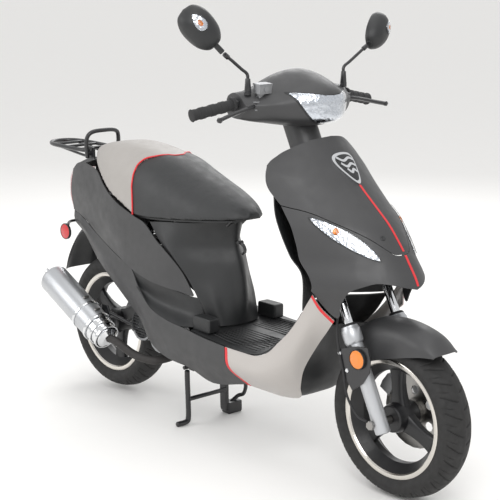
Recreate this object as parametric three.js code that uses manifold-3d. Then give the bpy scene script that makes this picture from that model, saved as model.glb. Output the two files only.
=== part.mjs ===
// Moped scooter of the 50 cc class, as an assembly of separate solids.
// Millimetres. +X is forward, +Y is the rider's left, +Z is up. Shapes are laid out from the rear
// axle (x = 0 at the axle, z = 0 on the ground), and the whole group is then moved back by MIDDLE_X.
import * as THREE from 'three';
import { mergeVertices } from 'three/addons/utils/BufferGeometryUtils.js';
import Module from 'manifold-3d';

// ---- driving dimensions ---------------------------------------------------------------------
const WHEELBASE = 1270;
const TYRE_RADIUS = 227;
const TYRE_HALF_WIDTH = 54;
const RIM_RADIUS = 166;
const REAR_LIFT = 14;               // the centre stand holds the rear tyre this far off the ground
const RAKE = THREE.MathUtils.degToRad(26.4);
const FORK_OFFSET = 40;             // fork legs lie this far in front of the steering axis
const FORK_HALF_SPACING = 95;
const STANCHION_RADIUS = 13.5;
const SLIDER_RADIUS = 21.5;
const GRIP_RADIUS = 16;
const PANEL = 4;                    // wall of the plastic body panels
const MIDDLE_X = 574.65;            // half way between the rack's rear edge and the front tyre
const FIT = 0.4;                    // gap between pieces that touch
const SHORTEST_EDGE = 0.05;         // shorter edges, left where solids are joined, are closed up

const AXLE_FRONT = [WHEELBASE, 0, TYRE_RADIUS];
const AXLE_REAR = [0, 0, TYRE_RADIUS + REAR_LIFT];
const ENGINE_PIVOT = [395, 0, 215];
const STAND_PIVOT = [436, 0, 186];
const SEAT_HINGE = [596, 0, 671];
const SHOCK_TOP = [92, 78, 598];
const SHOCK_LOW = [-30, 78, 318];
const SHOCK_PIN = 5;
const LOOSE_PIVOT = 3;
const PIVOT_RADIUS = 6;
const FORK_FOOT = [1283, 227];      // x and z where the fork line passes the front axle's height

// ---- materials ------------------------------------------------------------------------------
const finish = (color, roughness, metalness = 0) =>
  new THREE.MeshStandardMaterial({ color, roughness, metalness });
const CHARCOAL = finish(0x4a4a4b, 0.62);
const BLACK_PLASTIC = finish(0x2b2b2c, 0.5);
const LIGHT_PANEL = finish(0xc4c0bb, 0.4);
const BLACK_PAINT = finish(0x1b1b1c, 0.35, 0.3);
const SILVER = finish(0xc3c5c8, 0.35, 0.85);
const CHROME = finish(0xdedfe1, 0.08, 1);
const RUBBER = finish(0x232324, 0.85);
const VINYL = finish(0x2f3032, 0.6);
const CLEAR = finish(0xdfe6ea, 0.08);
const AMBER = finish(0xf08a1c, 0.2);
const RED = finish(0xc8161d, 0.2);
const MIRROR = finish(0xe8edf0, 0.02, 1);

// ---- solids ---------------------------------------------------------------------------------
const wasm = await Module();
wasm.setup();

function solid(geometry) {
  const bare = geometry.clone();
  for (const name of ['normal', 'uv', 'uv1']) bare.deleteAttribute(name);
  const merged = mergeVertices(bare, 1e-3);
  const vertProperties = new Float32Array(merged.attributes.position.array);
  const triVerts = new Uint32Array(merged.index.array);
  const mesh = new wasm.Mesh({ numProp: 3, vertProperties, triVerts });
  return new wasm.Manifold(mesh);
}

function geometryOf(body) {
  const mesh = body.getMesh();
  const geometry = new THREE.BufferGeometry();
  geometry.setAttribute('position', new THREE.BufferAttribute(mesh.vertProperties, 3));
  geometry.setIndex(new THREE.BufferAttribute(mesh.triVerts, 1));
  geometry.computeVertexNormals();
  return geometry;
}

const join = (...geometries) =>
  geometryOf(geometries.map(solid).reduce((sum, next) => sum.add(next)));
const cut = (geometry, ...tools) =>
  geometryOf(tools.map(solid).reduce((rest, tool) => rest.subtract(tool), solid(geometry)));
const common = (geometry, tool) => geometryOf(solid(geometry).intersect(solid(tool)));

function mirrored(geometry) {
  const copy = geometry.clone();
  copy.scale(1, -1, 1);
  const index = copy.index ? copy.index.array : null;
  if (!index) {
    const merged = mergeVertices(copy);
    return mirrored(merged.scale(1, -1, 1));
  }
  for (let i = 0; i < index.length; i += 3) [index[i + 1], index[i + 2]] = [index[i + 2], index[i + 1]];
  copy.computeVertexNormals();
  return copy;
}

const vector = ([x, y, z]) => new THREE.Vector3(x, y, z);
const mix = (a, b, t) => a.map((value, i) => value + (b[i] - value) * t);
const flipY = ([x, y, z]) => [x, -y, z];

// A straight round bar between two points; a second radius makes it a cone.
function rod(from, to, radius, sides = 12, endRadius = radius) {
  const axis = vector(to).sub(vector(from));
  const geometry = new THREE.CylinderGeometry(endRadius, radius, axis.length(), sides);
  const turn = new THREE.Quaternion().setFromUnitVectors(new THREE.Vector3(0, 1, 0), axis.normalize());
  return geometry.applyQuaternion(turn).translate(...mix(from, to, 0.5));
}

// A box by its size and centre, pitched about the lateral axis.
function block(size, centre, pitch = 0) {
  return new THREE.BoxGeometry(...size).rotateY(pitch).translate(...centre);
}

// A bent round bar through the given points.
function tube(points, radius, steps, sides = 10) {
  const ring = [];
  for (let i = 0; i < sides; i++) {
    const angle = (2 * Math.PI * i) / sides;
    ring.push(new THREE.Vector2(radius * Math.cos(angle), radius * Math.sin(angle)));
  }
  const extrudePath = new THREE.CatmullRomCurve3(points.map(vector), false, 'centripetal');
  const options = { steps, extrudePath, bevelEnabled: false, curveSegments: 1 };
  return new THREE.ExtrudeGeometry(new THREE.Shape(ring), options);
}

// A flat plate: an outline in x and z, with its faces at y = near and y = far.
function plate(outline, near, far) {
  const shape = new THREE.Shape(outline.map(([x, z]) => new THREE.Vector2(x, z)));
  const options = { depth: far - near, bevelEnabled: false };
  return new THREE.ExtrudeGeometry(shape, options).rotateX(Math.PI / 2).translate(0, far, 0);
}

// The same plate on both sides, between two distances from the centre plane.
const platePair = (outline, near, far) => [plate(outline, -far, -near), plate(outline, near, far)];

// A body turned about the lateral axis; the profile lists [radius, y].
function turned(profile, centre, segments = 24) {
  const points = profile.map(([radius, y]) => new THREE.Vector2(radius, y));
  const body = solid(new THREE.LatheGeometry(points, segments));
  return geometryOf(body).translate(...centre);
}

// Value of a smooth curve through evenly spaced points, at t from 0 to 1.
function spline(points, t) {
  const last = points.length - 1;
  const place = Math.min(Math.max(t, 0), 1) * last;
  const i = Math.min(Math.floor(place), last - 1);
  const u = place - i;
  const at = (k) => {
    if (k < 0) return points[0].map((value, j) => 2 * value - points[1][j]);
    if (k > last) return points[last].map((value, j) => 2 * value - points[last - 1][j]);
    return points[k];
  };
  const [a, b, c, d] = [at(i - 1), at(i), at(i + 1), at(i + 2)];
  return b.map((value, j) => {
    const rise = c[j] - a[j];
    const bend = 2 * a[j] - 5 * value + 4 * c[j] - d[j];
    const twist = -a[j] + 3 * value - 3 * c[j] + d[j];
    return value + 0.5 * u * (rise + u * (bend + u * twist));
  });
}

const surfaceAt = (rows, s, t) => spline(rows.map((row) => spline(row, t)), s);

// Puts triangles round a closed point set the right way out.
function closedGeometry(points, triangles) {
  let volume = 0;
  for (const [a, b, c] of triangles) {
    volume += vector(points[a]).dot(vector(points[b]).cross(vector(points[c])));
  }
  const index = volume > 0 ? triangles.flat() : triangles.flatMap(([a, b, c]) => [a, c, b]);
  const geometry = new THREE.BufferGeometry();
  geometry.setAttribute('position', new THREE.Float32BufferAttribute(points.flat(), 3));
  geometry.setIndex(index);
  geometry.computeVertexNormals();
  return geometry;
}

// A panel of even thickness: a smooth surface through rows of points, thickened away from the
// outside. The point `inside` lies on the hollow side of the panel. A lift moves it outwards.
function skin(rows, inside, { across = 8, along = 8, thickness = PANEL, lift = 0 } = {}) {
  const outer = [];
  const inner = [];
  const step = 1e-3;
  let towards = 0;
  const samples = [];
  for (let i = 0; i <= across; i++) {
    for (let j = 0; j <= along; j++) {
      const [s, t] = [i / across, j / along];
      const point = surfaceAt(rows, s, t);
      const [s0, s1] = [Math.max(s - step, 0), Math.min(s + step, 1)];
      const [t0, t1] = [Math.max(t - step, 0), Math.min(t + step, 1)];
      const du = vector(surfaceAt(rows, s1, t)).sub(vector(surfaceAt(rows, s0, t)));
      const dv = vector(surfaceAt(rows, s, t1)).sub(vector(surfaceAt(rows, s, t0)));
      const normal = du.cross(dv).normalize();
      towards += normal.dot(vector(inside).sub(vector(point)));
      samples.push([point, normal]);
    }
  }
  const sign = towards > 0 ? 1 : -1;
  for (const [point, normal] of samples) {
    const shifted = (distance) => vector(point).addScaledVector(normal, sign * distance).toArray();
    outer.push(shifted(-lift));
    inner.push(shifted(thickness - lift));
  }
  const width = along + 1;
  const offset = outer.length;
  const triangles = [];
  for (let i = 0; i < across; i++) {
    for (let j = 0; j < along; j++) {
      const a = i * width + j;
      const [b, c, d] = [a + 1, a + width, a + width + 1];
      triangles.push([a, b, d], [a, d, c]);
      triangles.push([offset + a, offset + d, offset + b], [offset + a, offset + c, offset + d]);
    }
  }
  const rim = [];
  for (let j = 0; j < along; j++) rim.push(j);
  for (let i = 0; i < across; i++) rim.push(i * width + along);
  for (let j = along; j > 0; j--) rim.push(across * width + j);
  for (let i = across; i > 0; i--) rim.push(i * width);
  rim.forEach((a, k) => {
    const b = rim[(k + 1) % rim.length];
    triangles.push([a, offset + a, b], [b, offset + a, offset + b]);
  });
  return closedGeometry([...outer, ...inner], triangles);
}

// Completes rows that run from the centre plane outwards on the right side.
const inwards = (row) => [...row].reverse();
const bothSides = (rows) => rows.map((row) => [...row.slice(1).reverse().map(flipY), ...row]);

// A solid through closed sections that all have the same number of points.
function loft(sections) {
  const count = sections[0].length;
  const points = sections.flat();
  const triangles = [];
  for (let i = 0; i + 1 < sections.length; i++) {
    for (let j = 0; j < count; j++) {
      const a = i * count + j;
      const b = i * count + ((j + 1) % count);
      triangles.push([a, b, b + count], [a, b + count, a + count]);
    }
  }
  for (const [first, turn] of [[0, 1], [(sections.length - 1) * count, -1]]) {
    const centre = points.length;
    const ring = points.slice(first, first + count);
    points.push([0, 1, 2].map((k) => ring.reduce((sum, p) => sum + p[k], 0) / count));
    for (let j = 0; j < count; j++) {
      const [a, b] = [first + j, first + ((j + 1) % count)];
      triangles.push(turn > 0 ? [centre, b, a] : [centre, a, b]);
    }
  }
  return closedGeometry(points, triangles);
}

// A smooth run of sections between a few given ones.
function smoothLoft(sections, steps) {
  const rings = [];
  for (let i = 0; i <= steps; i++) {
    rings.push(sections[0].map((_, j) => spline(sections.map((ring) => ring[j]), i / steps)));
  }
  return loft(rings);
}

const scooter = new THREE.Group();
scooter.position.x = -MIDDLE_X;
const chassis = new THREE.Group();
const steering = new THREE.Group();
const forkLower = new THREE.Group();
const rearUnit = new THREE.Group();
scooter.add(chassis, steering, forkLower, rearUnit);

function add(parent, name, geometry, material) {
  const mesh = new THREE.Mesh(geometryOf(solid(geometry).simplify(SHORTEST_EDGE)), material);
  mesh.name = name;
  parent.add(mesh);
  return mesh;
}

// Adds a piece on the right-hand side and its mirror image on the left.
function addPair(parent, name, geometry, material) {
  add(parent, `${name}_right`, geometry, material);
  add(parent, `${name}_left`, mirrored(geometry), material);
}

// ---- fork line and steering axis ------------------------------------------------------------
const forkX = (z) => FORK_FOOT[0] - (z - FORK_FOOT[1]) * Math.tan(RAKE);
const forkPoint = (z, y = 0) => [forkX(z), y, z];
const axisPoint = (z, y = 0) => [forkX(z) - FORK_OFFSET / Math.cos(RAKE), y, z];

// ---- wheels ---------------------------------------------------------------------------------
function rimGeometry(centre, spokeAngle, spokes = 3) {
  const half = [[RIM_RADIUS, 44], [RIM_RADIUS, 41], [153, 38], [139, 16]];
  const inside = [[130, 10], [154, 44]];
  const profile = [
    ...half,
    ...[...half].reverse().map(([r, y]) => [r, -y]),
    ...[...inside].reverse().map(([r, y]) => [r, -y]),
    ...inside,
  ].reverse();
  const parts = [turned([...profile, profile[0]], [0, 0, 0], 22)];
  parts.push(rod([0, -43, 0], [0, 43, 0], 42, 16));
  for (let i = 0; i < spokes; i++) {
    const spoke = loft([
      [[30, -24], [30, 24]], [[80, -14], [80, 14]], [[134.5, -13], [134.5, 13]],
    ].map(([[r, y0], [, y1]], k) => {
      const w = [32, 23, 26][k];
      return [[-w, y0 * 0.7, r], [w, y0 * 0.7, r], [w, y1 * 0.7, r], [-w, y1 * 0.7, r]];
    }));
    parts.push(spoke.rotateY(spokeAngle + (2 * Math.PI * i) / spokes));
  }
  const bore = rod([0, -60, 0], [0, 60, 0], 9, 10);
  return cut(join(...parts), bore).translate(...centre);
}

function tyreGeometry(centre) {
  const half = [[TYRE_RADIUS, 0], [221, 28], [206, 48], [188, TYRE_HALF_WIDTH], [167, 40.4], [154, 37.4]];
  const inner = [[154, 30], [184, 44], [214, 24]];
  const outline = [
    ...half,
    ...inner,
    ...[...inner].reverse().map(([r, y]) => [r, -y]),
    ...[...half].slice(1).reverse().map(([r, y]) => [r, -y]),
  ];
  return turned([...outline, outline[0]], centre);
}

const SPOKE_FRONT = THREE.MathUtils.degToRad(-6);
const frontWheel = new THREE.Group();
forkLower.add(frontWheel);
add(frontWheel, 'front_rim', rimGeometry(AXLE_FRONT, SPOKE_FRONT), BLACK_PAINT);
add(frontWheel, 'front_tyre', tyreGeometry(AXLE_FRONT), RUBBER);

const DISC_RADIUS = 105;
const DISC_FACES = [56, 60];
function discGeometry() {
  const disc = rod([0, DISC_FACES[0], 0], [0, DISC_FACES[1], 0], DISC_RADIUS, 24);
  const carrier = rod([0, 44 + FIT, 0], [0, DISC_FACES[1], 0], 34, 16);
  const holes = [rod([0, 40, 0], [0, 70, 0], 9, 16)];
  for (let i = 0; i < 6; i++) {
    const angle = (Math.PI * i) / 3;
    const [s, c] = [Math.sin(angle), Math.cos(angle)];
    holes.push(rod([62 * s, 50, 62 * c], [62 * s, 65, 62 * c], 14, 8));
  }
  return cut(join(disc, carrier), ...holes).translate(...AXLE_FRONT);
}
add(frontWheel, 'brake_disc', discGeometry(), SILVER);

const rearWheel = new THREE.Group();
rearUnit.add(rearWheel);
add(rearWheel, 'rear_rim', rimGeometry(AXLE_REAR, Math.PI / 3), BLACK_PAINT);
add(rearWheel, 'rear_tyre', tyreGeometry(AXLE_REAR), RUBBER);

// ---- telescopic fork ------------------------------------------------------------------------
const SLIDER_TOP = 446;
function sliderGeometry(y) {
  const body = join(
    rod(forkPoint(203, y), forkPoint(SLIDER_TOP, y), SLIDER_RADIUS, 14),
    rod(forkPoint(436, y), forkPoint(470, y), 27, 12),
    rod(forkPoint(462, y), forkPoint(476, y), 23, 12),
  );
  const bore = rod(forkPoint(246, y), forkPoint(490, y), STANCHION_RADIUS + 0.6, 14);
  const side = Math.sign(y);
  const axleHole = rod([WHEELBASE, 60 * side, TYRE_RADIUS], [WHEELBASE, 130 * side, TYRE_RADIUS], 7.5, 12);
  return cut(body, bore, axleHole);
}
addPair(forkLower, 'fork_slider', sliderGeometry(-FORK_HALF_SPACING), SILVER);

const AXLE_RADIUS = 7;
add(forkLower, 'front_axle', join(
  rod([WHEELBASE, -122, TYRE_RADIUS], [WHEELBASE, 122, TYRE_RADIUS], AXLE_RADIUS, 10),
  rod([WHEELBASE, -73, TYRE_RADIUS], [WHEELBASE, -44.8, TYRE_RADIUS], 12, 10),
  rod([WHEELBASE, 61, TYRE_RADIUS], [WHEELBASE, 73, TYRE_RADIUS], 12, 10),
  rod([WHEELBASE, 117, TYRE_RADIUS], [WHEELBASE, 127, TYRE_RADIUS], 12, 6),
  rod([WHEELBASE, -127, TYRE_RADIUS], [WHEELBASE, -117, TYRE_RADIUS], 12, 6),
), SILVER);

const BRIDGE_Z = 622;
for (const [name, y] of [['right', -FORK_HALF_SPACING], ['left', FORK_HALF_SPACING]]) {
  const foot = forkPoint(330, y);
  add(steering, `fork_tube_${name}`, rod(foot, forkPoint(BRIDGE_Z + 24, y), STANCHION_RADIUS, 14), CHROME);
}

function forkBridge() {
  const plateBar = loft([-114, -60, 60, 114].map((y) => {
    const front = forkX(BRIDGE_Z) + 24;
    const back = Math.abs(y) > 100 ? front - 42 : front - 92;
    const [top, low] = [BRIDGE_Z + 18, BRIDGE_Z - 14];
    return [[back, y, top], [front - 12, y, top], [front + 4, y, low], [back + 16, y, low]];
  }));
  const stem = rod(axisPoint(BRIDGE_Z), axisPoint(962), 13, 16);
  const clamps = [-1, 1].map((side) => {
    const y = side * FORK_HALF_SPACING;
    return rod(forkPoint(BRIDGE_Z - 40, y), forkPoint(BRIDGE_Z + 40, y), STANCHION_RADIUS + 0.6, 14);
  });
  return cut(join(plateBar, stem), ...clamps);
}
add(steering, 'fork_bridge', forkBridge(), BLACK_PAINT);

// Front fender: an arch over the tyre, carried by two pads on each slider.
const FENDER_ROWS = [
  [[1432, 0, 442], [1429, -24, 441], [1424, -42, 438], [1419, -50, 433]],
  [[1388, 0, 480], [1386, -30, 474], [1380, -54, 456], [1374, -61, 428]],
  [[1322, 0, 499], [1321, -32, 492], [1318, -58, 466], [1314, -65, 414]],
  [[1252, 0, 502], [1252, -34, 495], [1252, -60, 466], [1252, -66, 396]],
  [[1186, 0, 490], [1187, -34, 484], [1190, -60, 452], [1196, -66, 378]],
  [[1126, 0, 452], [1129, -34, 446], [1136, -60, 418], [1148, -65, 362]],
  [[1084, 0, 392], [1088, -34, 388], [1098, -58, 366], [1112, -64, 335]],
];
function fenderGeometry() {
  const shell = skin(bothSides(FENDER_ROWS), AXLE_FRONT, { across: 8, along: 6, thickness: 3.5 });
  const pads = [];
  for (const side of [-1, 1]) {
    for (const z of [392, 424]) {
      const [x] = forkPoint(z);
      pads.push(rod([x, 62 * side, z], [x, (FORK_HALF_SPACING - SLIDER_RADIUS - FIT) * side, z], 7, 10));
    }
  }
  return join(shell, ...pads);
}
add(forkLower, 'front_fender', fenderGeometry(), CHARCOAL);

function caliperGeometry() {
  const centre = [1168, 58, 292];
  const rimRoom = rod([WHEELBASE, 30, TYRE_RADIUS], [WHEELBASE, 100, TYRE_RADIUS], 130, 24);
  const jaws = common(block([62, 36, 52], centre, 0.5), rimRoom);
  const slot = rod([WHEELBASE, DISC_FACES[0] - 2, TYRE_RADIUS], [WHEELBASE, DISC_FACES[1] + 2, TYRE_RADIUS],
    110, 28);
  const wheelRoom = rod([WHEELBASE, 0, TYRE_RADIUS], [WHEELBASE, 46, TYRE_RADIUS], 132, 24);
  const ears = plate([[1178, 300], [1196, 330], [1226, 322], [1222, 262], [1196, 262]], 66, 72.6);
  const piston = rod([1168, 74, 292], [1168, 88, 292], 19, 16);
  return cut(join(jaws, ears, piston), slot, wheelRoom);
}
add(forkLower, 'brake_caliper', caliperGeometry(), SILVER);

const REFLECTOR_RADIUS = 28;
const REFLECTOR_SPOT = [1220, 401];
function reflectorBracket() {
  const wall = plate([
    [1150, 416], [1215, 436], [1252, 440], [1264, 404], [1262, 372], [1238, 336], [1200, 308],
    [1176, 334], [1150, 378],
  ], -121.5, -118);
  const [x, z] = REFLECTOR_SPOT;
  const disc = rod([x, -119, z], [x, -129, z], REFLECTOR_RADIUS, 16);
  const outerSide = -(FORK_HALF_SPACING + SLIDER_RADIUS + FIT);
  const screws = [[1152, 404], [1181, 361]].map(([sx, sz]) => rod([sx, -119, sz], [sx, -126, sz], 6, 6));
  const spacers = [352, 424].map((sz) => rod([forkX(sz), outerSide, sz], [forkX(sz), -119, sz], 8, 10));
  return join(wall, disc, ...screws, ...spacers);
}
// The speedometer cable comes down along the right slider to the drive at the front hub.
const cable = tube([
  [1138, -118, 520], [1140, -123, 460], [1152, -123.5, 404], [1168, -123.5, 352],
  [1184, -124, 290], [1220, -122, 244], [1258, -124, 236],
], 4, 12, 5);
add(forkLower, 'front_reflector_right', join(reflectorBracket(), cable), AMBER);
add(forkLower, 'front_reflector_left', mirrored(reflectorBracket()), AMBER);

// ---- handlebar, grips and levers ------------------------------------------------------------
const GRIP_INNER = [822, -216, 1059];
const GRIP_OUTER = [793, -346, 1034];
const gripPoint = (t) => mix(GRIP_INNER, GRIP_OUTER, t);

const LEVER_PIVOT = [868, -176, 1056];
const LEVER_HALF = 8;
// Clamp ring on the bar with two cheeks and the pivot pin of a brake lever, on the right side.
function leverPerch() {
  const [x, y, z] = LEVER_PIVOT;
  const ring = rod(gripPoint(-0.42), gripPoint(-0.24), 17, 12);
  const cheeks = [-1, 1].map((side) => block([42, 22, 4], [x - 10, y, z + side * (LEVER_HALF + 2.6)]));
  const web = block([6, 22, 2 * LEVER_HALF + 8], [x - 22, y, z]);
  const pin = rod([x, y, z - LEVER_HALF - 3], [x, y, z + LEVER_HALF + 3], 4, 8);
  return join(ring, ...cheeks, web, pin);
}

function barTube(radius) {
  const [cx, , cz] = axisPoint(1012);
  const half = [
    [cx, 0, cz + 4], [cx - 8, -70, 1024], [840, -140, 1056],
    gripPoint(-0.3), gripPoint(0.1), gripPoint(0.93),
  ];
  return tube([...half.slice(1).reverse().map(flipY), ...half], radius, 14, 6);
}

function handlebarGeometry() {
  const bar = barTube(11);
  const riser = rod(axisPoint(970), axisPoint(1020), 20, 12);
  return join(bar, riser, mirrored(leverPerch()));
}
add(steering, 'handlebar', handlebarGeometry(), BLACK_PAINT);

function gripGeometry() {
  const sleeve = join(
    rod(gripPoint(0.02), gripPoint(1), GRIP_RADIUS, 12),
    rod(gripPoint(0.02), gripPoint(0.08), 21, 12),
    rod(gripPoint(0.96), gripPoint(1.02), 18, 12),
  );
  return cut(sleeve, rod(gripPoint(-0.1), gripPoint(0.95), 12.6, 10));
}
add(steering, 'throttle_grip', gripGeometry(), RUBBER);
add(steering, 'left_grip', mirrored(gripGeometry()), RUBBER);

function leverGeometry() {
  const [x, y, z] = LEVER_PIVOT;
  const route = [[x, y, z], [x + 8, y - 30, z - 3], [x + 9, y - 76, z - 12], [x + 14, y - 124, z - 22],
    [x + 20, y - 150, z - 27]];
  const blade = tube(route, 6, 7, 6);
  const knob = new THREE.SphereGeometry(8.5, 6, 4).translate(...route[route.length - 1]);
  const eye = rod([x, y, z - LEVER_HALF], [x, y, z + LEVER_HALF], 10, 10);
  const hole = rod([x, y, z - 20], [x, y, z + 20], 4.6, 8);
  return cut(join(blade, knob, eye), hole);
}
addPair(steering, 'brake_lever', leverGeometry(), BLACK_PAINT);

// Brake master cylinder with its round sight glass and lever bracket.
function masterCylinder() {
  const reservoir = block([26, 44, 24], [870, -154, 1101], 0.1);
  const cap = block([28, 48, 5], [869, -154, 1114], 0.1);
  const neck = block([18, 16, 34], [864, -160, 1082]);
  const window = rod([880, -154, 1101], [886, -154, 1101], 8, 12);
  const cylinder = rod([858, -170, 1074], [862, -128, 1076], 10, 10);
  const barRoom = barTube(11.8);
  return cut(join(reservoir, cap, neck, window, cylinder, leverPerch()), barRoom);
}

const BUTTON_RADIUS = 7;

// ---- headset cover --------------------------------------------------------------------------
// Sections of the cover in x and z, at stations along y. Every section runs round the same way.
function coverSection(y, [back, front, low, top, nose]) {
  const middle = low + (top - low) * 0.55;
  return [
    [back, middle], [back + (front - back) * 0.1, low + (top - low) * 0.85],
    [back + (front - back) * 0.38, top], [back + (front - back) * 0.68, top - (top - low) * 0.1],
    [front - 8, low + (top - low) * 0.66], [front, low + (top - low) * nose],
    [front - 14, low + (top - low) * 0.14], [back + (front - back) * 0.62, low],
    [back + (front - back) * 0.25, low + 4], [back + (front - back) * 0.05, low + (top - low) * 0.22],
  ].map(([x, z]) => [x, y, z]);
}
const COVER_STATIONS = [
  [206, [776, 858, 1018, 1089, 0.5]], [170, [772, 892, 1010, 1095, 0.5]],
  [125, [762, 922, 1003, 1108, 0.45]], [80, [752, 958, 996, 1128, 0.4]],
  [40, [746, 984, 991, 1142, 0.36]], [0, [744, 992, 989, 1147, 0.34]],
];
function coverSolid(wall) {
  const grow = ([back, front, low, top, nose]) => [back + wall, front - wall, low + wall, top - wall, nose];
  const half = COVER_STATIONS.map(([y, size]) => coverSection(y - Math.min(wall, y), grow(size)));
  const ring = (section) => section.map(flipY);
  return smoothLoft([...half, ...half.slice(0, -1).reverse().map(ring)], 10);
}

const HEADLIGHT_HALF = [[0, 1002], [34, 1006], [62, 1022], [84, 1052], [98, 1078], [102, 1090], [70, 1090],
  [34, 1086], [0, 1084]];
function outlinePrism(half, grow, from, to) {
  const centreZ = (half[0][1] + half[half.length - 1][1]) / 2;
  const stretch = ([y, z]) => new THREE.Vector2(y * (1 + grow / 100),
    centreZ + (z - centreZ) * (1 + grow / 45));
  const right = half.map(stretch);
  const left = half.slice(1, -1).reverse().map(([y, z]) => stretch([-y, z]));
  const options = { depth: to - from, bevelEnabled: false };
  const prism = new THREE.ExtrudeGeometry(new THREE.Shape([...right, ...left]), options);
  const turn = new THREE.Matrix4().makeBasis(
    new THREE.Vector3(0, 1, 0), new THREE.Vector3(0, 0, 1), new THREE.Vector3(1, 0, 0),
  );
  return prism.applyMatrix4(turn).translate(from, 0, 0);
}

const NECK_RADIUS = 47;
function headsetPieces() {
  const outer = coverSolid(0);
  const inner = coverSolid(PANEL);
  const shell = cut(outer, inner);
  const neck = rod(axisPoint(920), axisPoint(1010), NECK_RADIUS, 12);
  const neckRoom = rod(axisPoint(900), axisPoint(1020), NECK_RADIUS - PANEL, 12);
  const barRoom = [-1, 1].flatMap((side) => [
    rod([846, 150 * side, 1066], [818, 240 * side, 1050], 24, 10),
    block([80, 66, 48], [872, 186 * side, 1056]),
    block([62, 66, 90], [866, 162 * side, 1100]),
    rod([846, 188 * side, 1060], [846, 188 * side, 1120], 12, 8),
  ]);
  const buttonRoom = [-1, 1].map((side) => rod([800, 176 * side, 1050], [740, 176 * side, 1050],
    BUTTON_RADIUS + 0.8, 12));
  const opened = cut(shell, neckRoom, ...barRoom, ...buttonRoom);
  const frontHalf = block([400, 600, 400], [832 + 200 + 0.6, 0, 1070]);
  const backHalf = block([400, 600, 400], [832 - 200 - 0.6, 0, 1070]);
  const lampRoom = outlinePrism(HEADLIGHT_HALF, 0, 880, 1010);
  const lens = common(cut(coverSolid(-1), coverSolid(PANEL - 1)),
    outlinePrism(HEADLIGHT_HALF, -1, 880, 1010));
  const neckWall = cut(neck, neckRoom, barTube(11.8), common(coverSolid(-0.6),
    block([400, 600, 400], [632.6, 0, 1070])));
  return {
    front: join(cut(common(opened, frontHalf), lampRoom), neckWall),
    back: common(opened, backHalf),
    lens,
  };
}
const headset = headsetPieces();
add(steering, 'handlebar_cover_front', headset.front, CHARCOAL);
add(steering, 'handlebar_cover_rear', headset.back, BLACK_PLASTIC);
add(steering, 'headlight_lens', headset.lens, CLEAR);
add(steering, 'brake_master_cylinder', masterCylinder(), SILVER);

// Thumb switches in the rear face of the headset cover.
const button = rod([790, -176, 1050], [764, -176, 1050], BUTTON_RADIUS, 12);
add(steering, 'starter_button', button, RED);
add(steering, 'horn_button', mirrored(button), BLACK_PLASTIC);

// ---- mirrors --------------------------------------------------------------------------------
const MIRROR_BALL = [852, -288, 1206];
const MIRROR_TOE = THREE.MathUtils.degToRad(25);
const MIRROR_REACH = { right: 90, left: 67.2 };
const MIRROR_ROLL = { right: THREE.MathUtils.degToRad(47), left: THREE.MathUtils.degToRad(30) };
function mirrorStem() {
  const route = [[846, -188, 1120], [845, -190, 1142], [847, -214, 1158], [850, -250, 1182],
    [852, -278, 1200]];
  return join(
    rod([846, -188, 1084], [846, -188, 1097], 10, 10),
    rod([846, -188, 1096], [846, -188, 1128], 9, 10, 7),
    tube(route, 4.5, 8, 6),
    rod([850.5, -264, 1190.5], [851.8, -279, 1200.6], 7, 10),
  );
}
// A closed outline of the head at a depth in front of its rim. Its long axis is rolled up from level.
function mirrorRing(side, scale, depth) {
  const hand = side === 'right' ? -1 : 1;
  const roll = MIRROR_ROLL[side];
  const out = new THREE.Vector3(-Math.sin(MIRROR_TOE), hand * Math.cos(MIRROR_TOE), 0);
  const front = new THREE.Vector3(Math.cos(MIRROR_TOE), hand * Math.sin(MIRROR_TOE), 0);
  const up = new THREE.Vector3(0, 0, 1);
  const long = out.clone().multiplyScalar(Math.cos(roll)).addScaledVector(up, Math.sin(roll));
  const wide = up.clone().multiplyScalar(Math.cos(roll)).addScaledVector(out, -Math.sin(roll));
  const [bx, by, bz] = MIRROR_BALL;
  const centre = new THREE.Vector3(bx, -by * hand, bz).addScaledVector(long, MIRROR_REACH[side]);
  const half = [[-64, 0], [-58, 22], [-38, 37], [-6, 44], [28, 42], [52, 28], [62, 0]];
  const ring = [...half, ...half.slice(1, -1).reverse().map(([u, v]) => [u, -v])];
  return ring.map(([u, v]) => centre.clone().addScaledVector(long, u * scale)
    .addScaledVector(wide, v * scale).addScaledVector(front, depth).toArray());
}
function mirrorHead(side) {
  const ring = (scale, depth) => mirrorRing(side, scale, depth);
  const shell = smoothLoft([ring(1, -12), ring(1.05, 0), ring(0.93, 18), ring(0.62, 33), ring(0.2, 39)], 5);
  const pocket = loft([ring(0.94, -20), ring(0.94, -8)]);
  const y = side === 'right' ? 1 : -1;
  const end = mirrorRing(side, 0.5, 4)[0];
  const socket = rod([852.6, -286 * y, 1205.6], end, 8, 10);
  return join(cut(shell, pocket), cut(socket, pocket));
}
addPair(steering, 'mirror_stem', mirrorStem(), BLACK_PAINT);
for (const side of ['right', 'left']) {
  add(steering, `mirror_head_${side}`, mirrorHead(side), BLACK_PLASTIC);
  const glass = loft([mirrorRing(side, 0.925, -11.5), mirrorRing(side, 0.925, -8.4)]);
  add(steering, `mirror_glass_${side}`, glass, MIRROR);
}

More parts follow.
